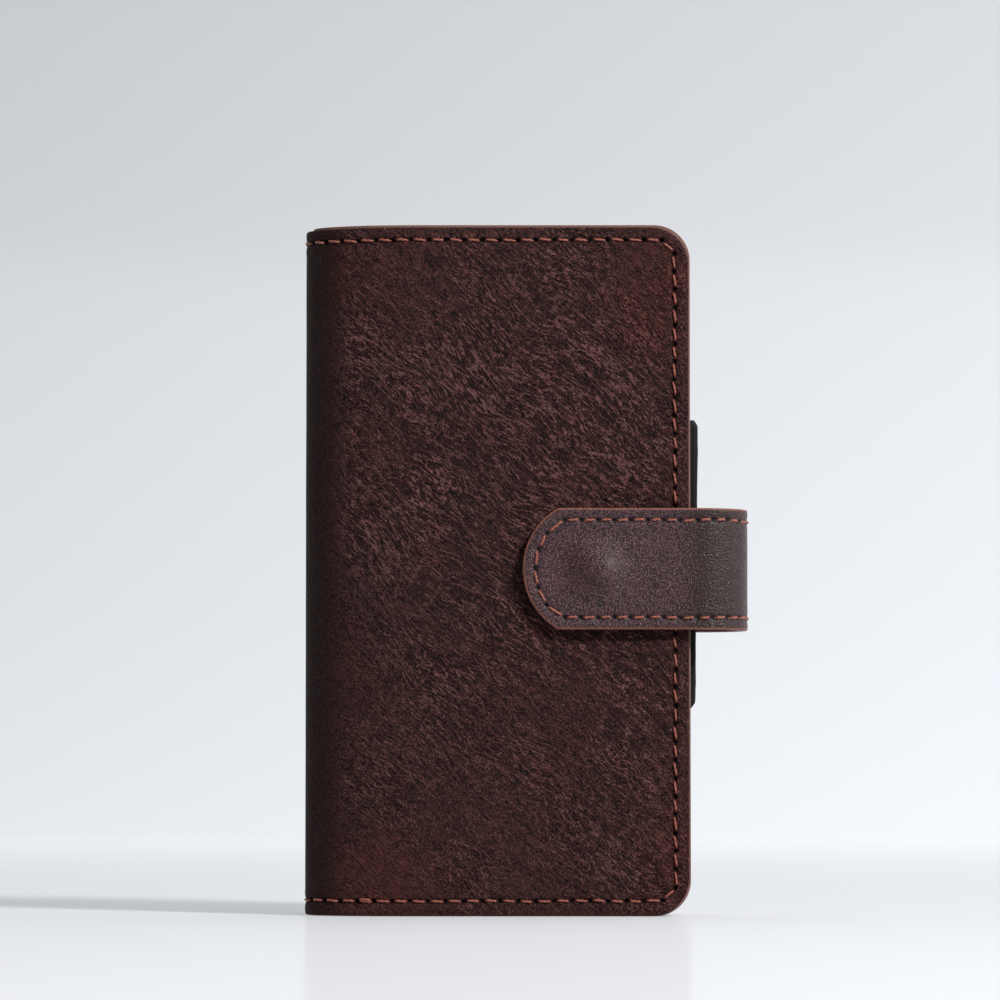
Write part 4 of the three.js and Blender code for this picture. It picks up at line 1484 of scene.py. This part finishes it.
def floor_paper():
    """Pale paper: matt, with a faint soft sheen and a little light of its own, less in front."""
    net = Net("floor_paper")
    new = net.tree.nodes.new
    place = net.coords()
    parts = new("ShaderNodeSeparateXYZ")
    net.put(parts.inputs[0], place)
    fibre = net.noise(place, 900.0, 2.0)
    paper = new("ShaderNodeBsdfDiffuse")
    net.put(paper.inputs["Color"], net.mix(fibre, (0.33, 0.335, 0.345), (0.36, 0.365, 0.375)))
    sheen = new("ShaderNodeBsdfGlossy")
    sheen.inputs["Color"].default_value = (0.9, 0.92, 0.96, 1)
    sheen.inputs["Roughness"].default_value = 0.14
    glow = new("ShaderNodeEmission")
    glow.inputs["Color"].default_value = (0.945, 0.968, 1.0, 1)
    # The glow is painted light: brighter to the right, dimmer up the wall, in front and near the
    # object.
    near = net.span(parts.outputs[1], -1.5, -0.35, 0.42, 1.0)
    rise = net.span(parts.outputs[2], 0.0, 0.75, 1.0, 0.80, soft=False)
    aside = net.span(parts.outputs[0], -0.8, 0.8, 0.72, 1.26, soft=False)
    share = net.math("MULTIPLY", net.math("MULTIPLY", near, rise), aside)
    away = net.math("ABSOLUTE", net.math("SUBTRACT", parts.outputs[1], -0.2))
    away = net.span(away, 0.1, 1.7, FLOOR_GLOW, WALL_GLOW)
    net.put(glow.inputs["Strength"], net.math("MULTIPLY", share, away))
    both = new("ShaderNodeMixShader")
    both.inputs[0].default_value = 0.13
    net.tree.links.new(paper.outputs[0], both.inputs[1])
    net.tree.links.new(sheen.outputs[0], both.inputs[2])
    total = new("ShaderNodeAddShader")
    net.tree.links.new(both.outputs[0], total.inputs[0])
    net.tree.links.new(glow.outputs[0], total.inputs[1])
    net.tree.links.new(total.outputs[0], net.out.inputs[0])
    net.tree.nodes.remove(net.bsdf)
    net.mat.cycles.emission_sampling = "NONE"
    return net.mat


def studio():
    scene = bpy.context.scene
    scene.view_settings.view_transform = "Standard"
    scene.view_settings.look = "None"
    sky = bpy.data.worlds.new("studio")
    sky.use_nodes = True
    back = sky.node_tree.nodes["Background"]
    back.inputs["Color"].default_value = (0.80, 0.87, 1.0, 1)
    back.inputs["Strength"].default_value = 0.12
    scene.world = sky
    area_light("overhead", (0.3, 0.5, 2.2), (0.1, 0.1, 0), (2.0, 1.6), 22, (1.0, 1.0, 1.0))
    area_light("key", (0.84, -0.86, 0.98), (0, 0, 0.08), (0.26, 0.26), 34, (1.0, 0.985, 0.97))
    area_light("right", (1.3, 0.1, 0.45), (0, 0, 0.08), (0.4, 0.8), 3, (0.95, 0.98, 1.0))
    area_light("left", (-1.3, 0.45, 0.45), (0, 0, 0.08), (0.5, 1.0), 2, (0.9, 0.95, 1.0))


# ------------------------------------------------------------------ the pieces

def zone_point(point):
    return tuple(world(point[0], point[1], 0.0))


def bend_with(obj, zone):
    zone_point(zone[2])
    zone_point(zone[3])
    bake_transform(obj)


def finish_piece(obj, material, zone=None, body=None, nodes=()):
    obj.data.materials.append(material)
    if zone:
        bend_with(obj, zone)
    else:
        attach(obj, body)
    if nodes:
        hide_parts(*nodes)


def covers(hide, thread):
    front, front_holes = leather_cover("front_cover_hide", FRONT, 11, False)
    finish_piece(front, hide, FRONT_ZONE,
                 nodes=("front_cover_leather", "spine_leather"))
    back, back_holes = leather_cover("back_cover_hide", BACK, 21, True)
    finish_piece(back, hide, BACK_ZONE, nodes=("back_cover_leather",))
    sewn = cover_thread("front_stitches", FRONT, front_holes, 3)
    finish_piece(sewn, thread, FRONT_ZONE,
                 nodes=("front_seam_thread", "spine_thread_top", "spine_thread_bottom"))
    sewn = cover_thread("back_stitches", BACK, back_holes, 4)
    finish_piece(sewn, thread, BACK_ZONE, nodes=("back_seam_thread",))


def insides(hide, suede, thread):
    front, holes = cover_lining("front_inside_lining", FRONT_INNER, *FRONT_LINING, False, 61)
    finish_piece(front, suede, FRONT_ZONE,
                 nodes=("front_cover_lining", "spine_lining"))
    sewn = inside_thread("front_inside_stitches", FRONT_INNER, holes, 5, True)
    finish_piece(sewn, thread, FRONT_ZONE)
    back, holes = cover_lining("back_inside_lining", BACK_INNER, *BACK_LINING, True, 71)
    finish_piece(back, suede, BACK_ZONE, nodes=("back_cover_lining",))
    sewn = inside_thread("back_inside_stitches", BACK_INNER, holes, 6, False)
    finish_piece(sewn, thread, BACK_ZONE)
    for k, (name, node, y, top) in enumerate(POCKETS):
        finish_piece(pocket(name, y, top, 80 + 3 * k), hide,
                     body="front_cover", nodes=(node,))


def straps(hide, suede, thread):
    for name, course, tip, zone, nodes in (
        ("rear", REAR_STRAP, False, SWING_ZONE,
         (("strap_root_leather", "strap_side_leather"),
          ("strap_side_thread_top", "strap_side_thread_bottom"),
          ("strap_root_lining", "strap_side_lining"))),
        ("fore", FORE_STRAP, True, LIFT_ZONE,
         (("strap_tab_leather",), ("strap_tab_thread",), ("strap_tab_lining",))),
    ):
        leather, groups = leather_strap(f"strap_{name}_hide", course, tip, 33)
        finish_piece(leather, hide, zone, nodes=nodes[0])
        sewn = strap_thread(f"strap_{name}_stitches", course, groups, 8)
        finish_piece(sewn, thread, zone, nodes=nodes[1])
        lining = strap_lining(f"strap_{name}_underside", course, tip)
        finish_piece(lining, suede, zone, nodes=nodes[2])


def holder(rubber):
    tray = holder_tray()
    finish_piece(tray, rubber, body="back_cover", nodes=("phone_holder",))
    for obj in holder_channels():
        finish_piece(obj, rubber, body="back_cover")


def inner_nodes():
    """The CAD nodes that stay as they are, each with its own finish."""
    card = plain_material("grey_board", (0.17, 0.15, 0.125), (0.33, 0.30, 0.26), 0.85, 1.6, 0.03)
    steel = plain_material("magnet_plate", (0.42, 0.43, 0.45), (0.62, 0.63, 0.64), 0.34, 2.5,
                           0.01, metallic=1.0, stretch=(1, 1, 6))
    glue = plain_material("adhesive_foam", (0.55, 0.53, 0.47), (0.74, 0.72, 0.66), 0.75, 1.2, 0.05)
    for node, mat in (("front_cover_board", card), ("back_cover_board", card),
                      ("cover_magnet", steel), ("strap_magnet", steel),
                      ("holder_adhesive_pad", glue)):
        for place in frame["nodes"][node].material_slots:
            place.material = mat


def holder_rubber():
    net = Net("holder_soft_black")
    place = net.mapping(net.coords(), (1000, 1000, 1000))
    speck = net.noise(place, 3.0, 3.0, 0.6)
    cloud = net.noise(place, 0.15, 2.0)
    tone = net.mix(speck, (0.0028, 0.0029, 0.0031), (0.0065, 0.0067, 0.0072))
    rough = net.math("ADD", net.span(cloud, 0.3, 0.7, 0.50, 0.60), net.math("MULTIPLY", speck, 0.1))
    net.set(Base_Color=tone, Roughness=rough, Normal=net.bump(speck, 0.00004, 0.8))
    net.set(Specular_IOR_Level=0.12)
    return net.mat


camera()
sweep()
studio()
HIDE = cover_leather()
STRAP_HIDE = strap_leather()
THREAD = thread_material()
SUEDE = lining_material()
covers(HIDE, THREAD)
straps(STRAP_HIDE, SUEDE, THREAD)
insides(HIDE, SUEDE, THREAD)
holder(holder_rubber())
inner_nodes()
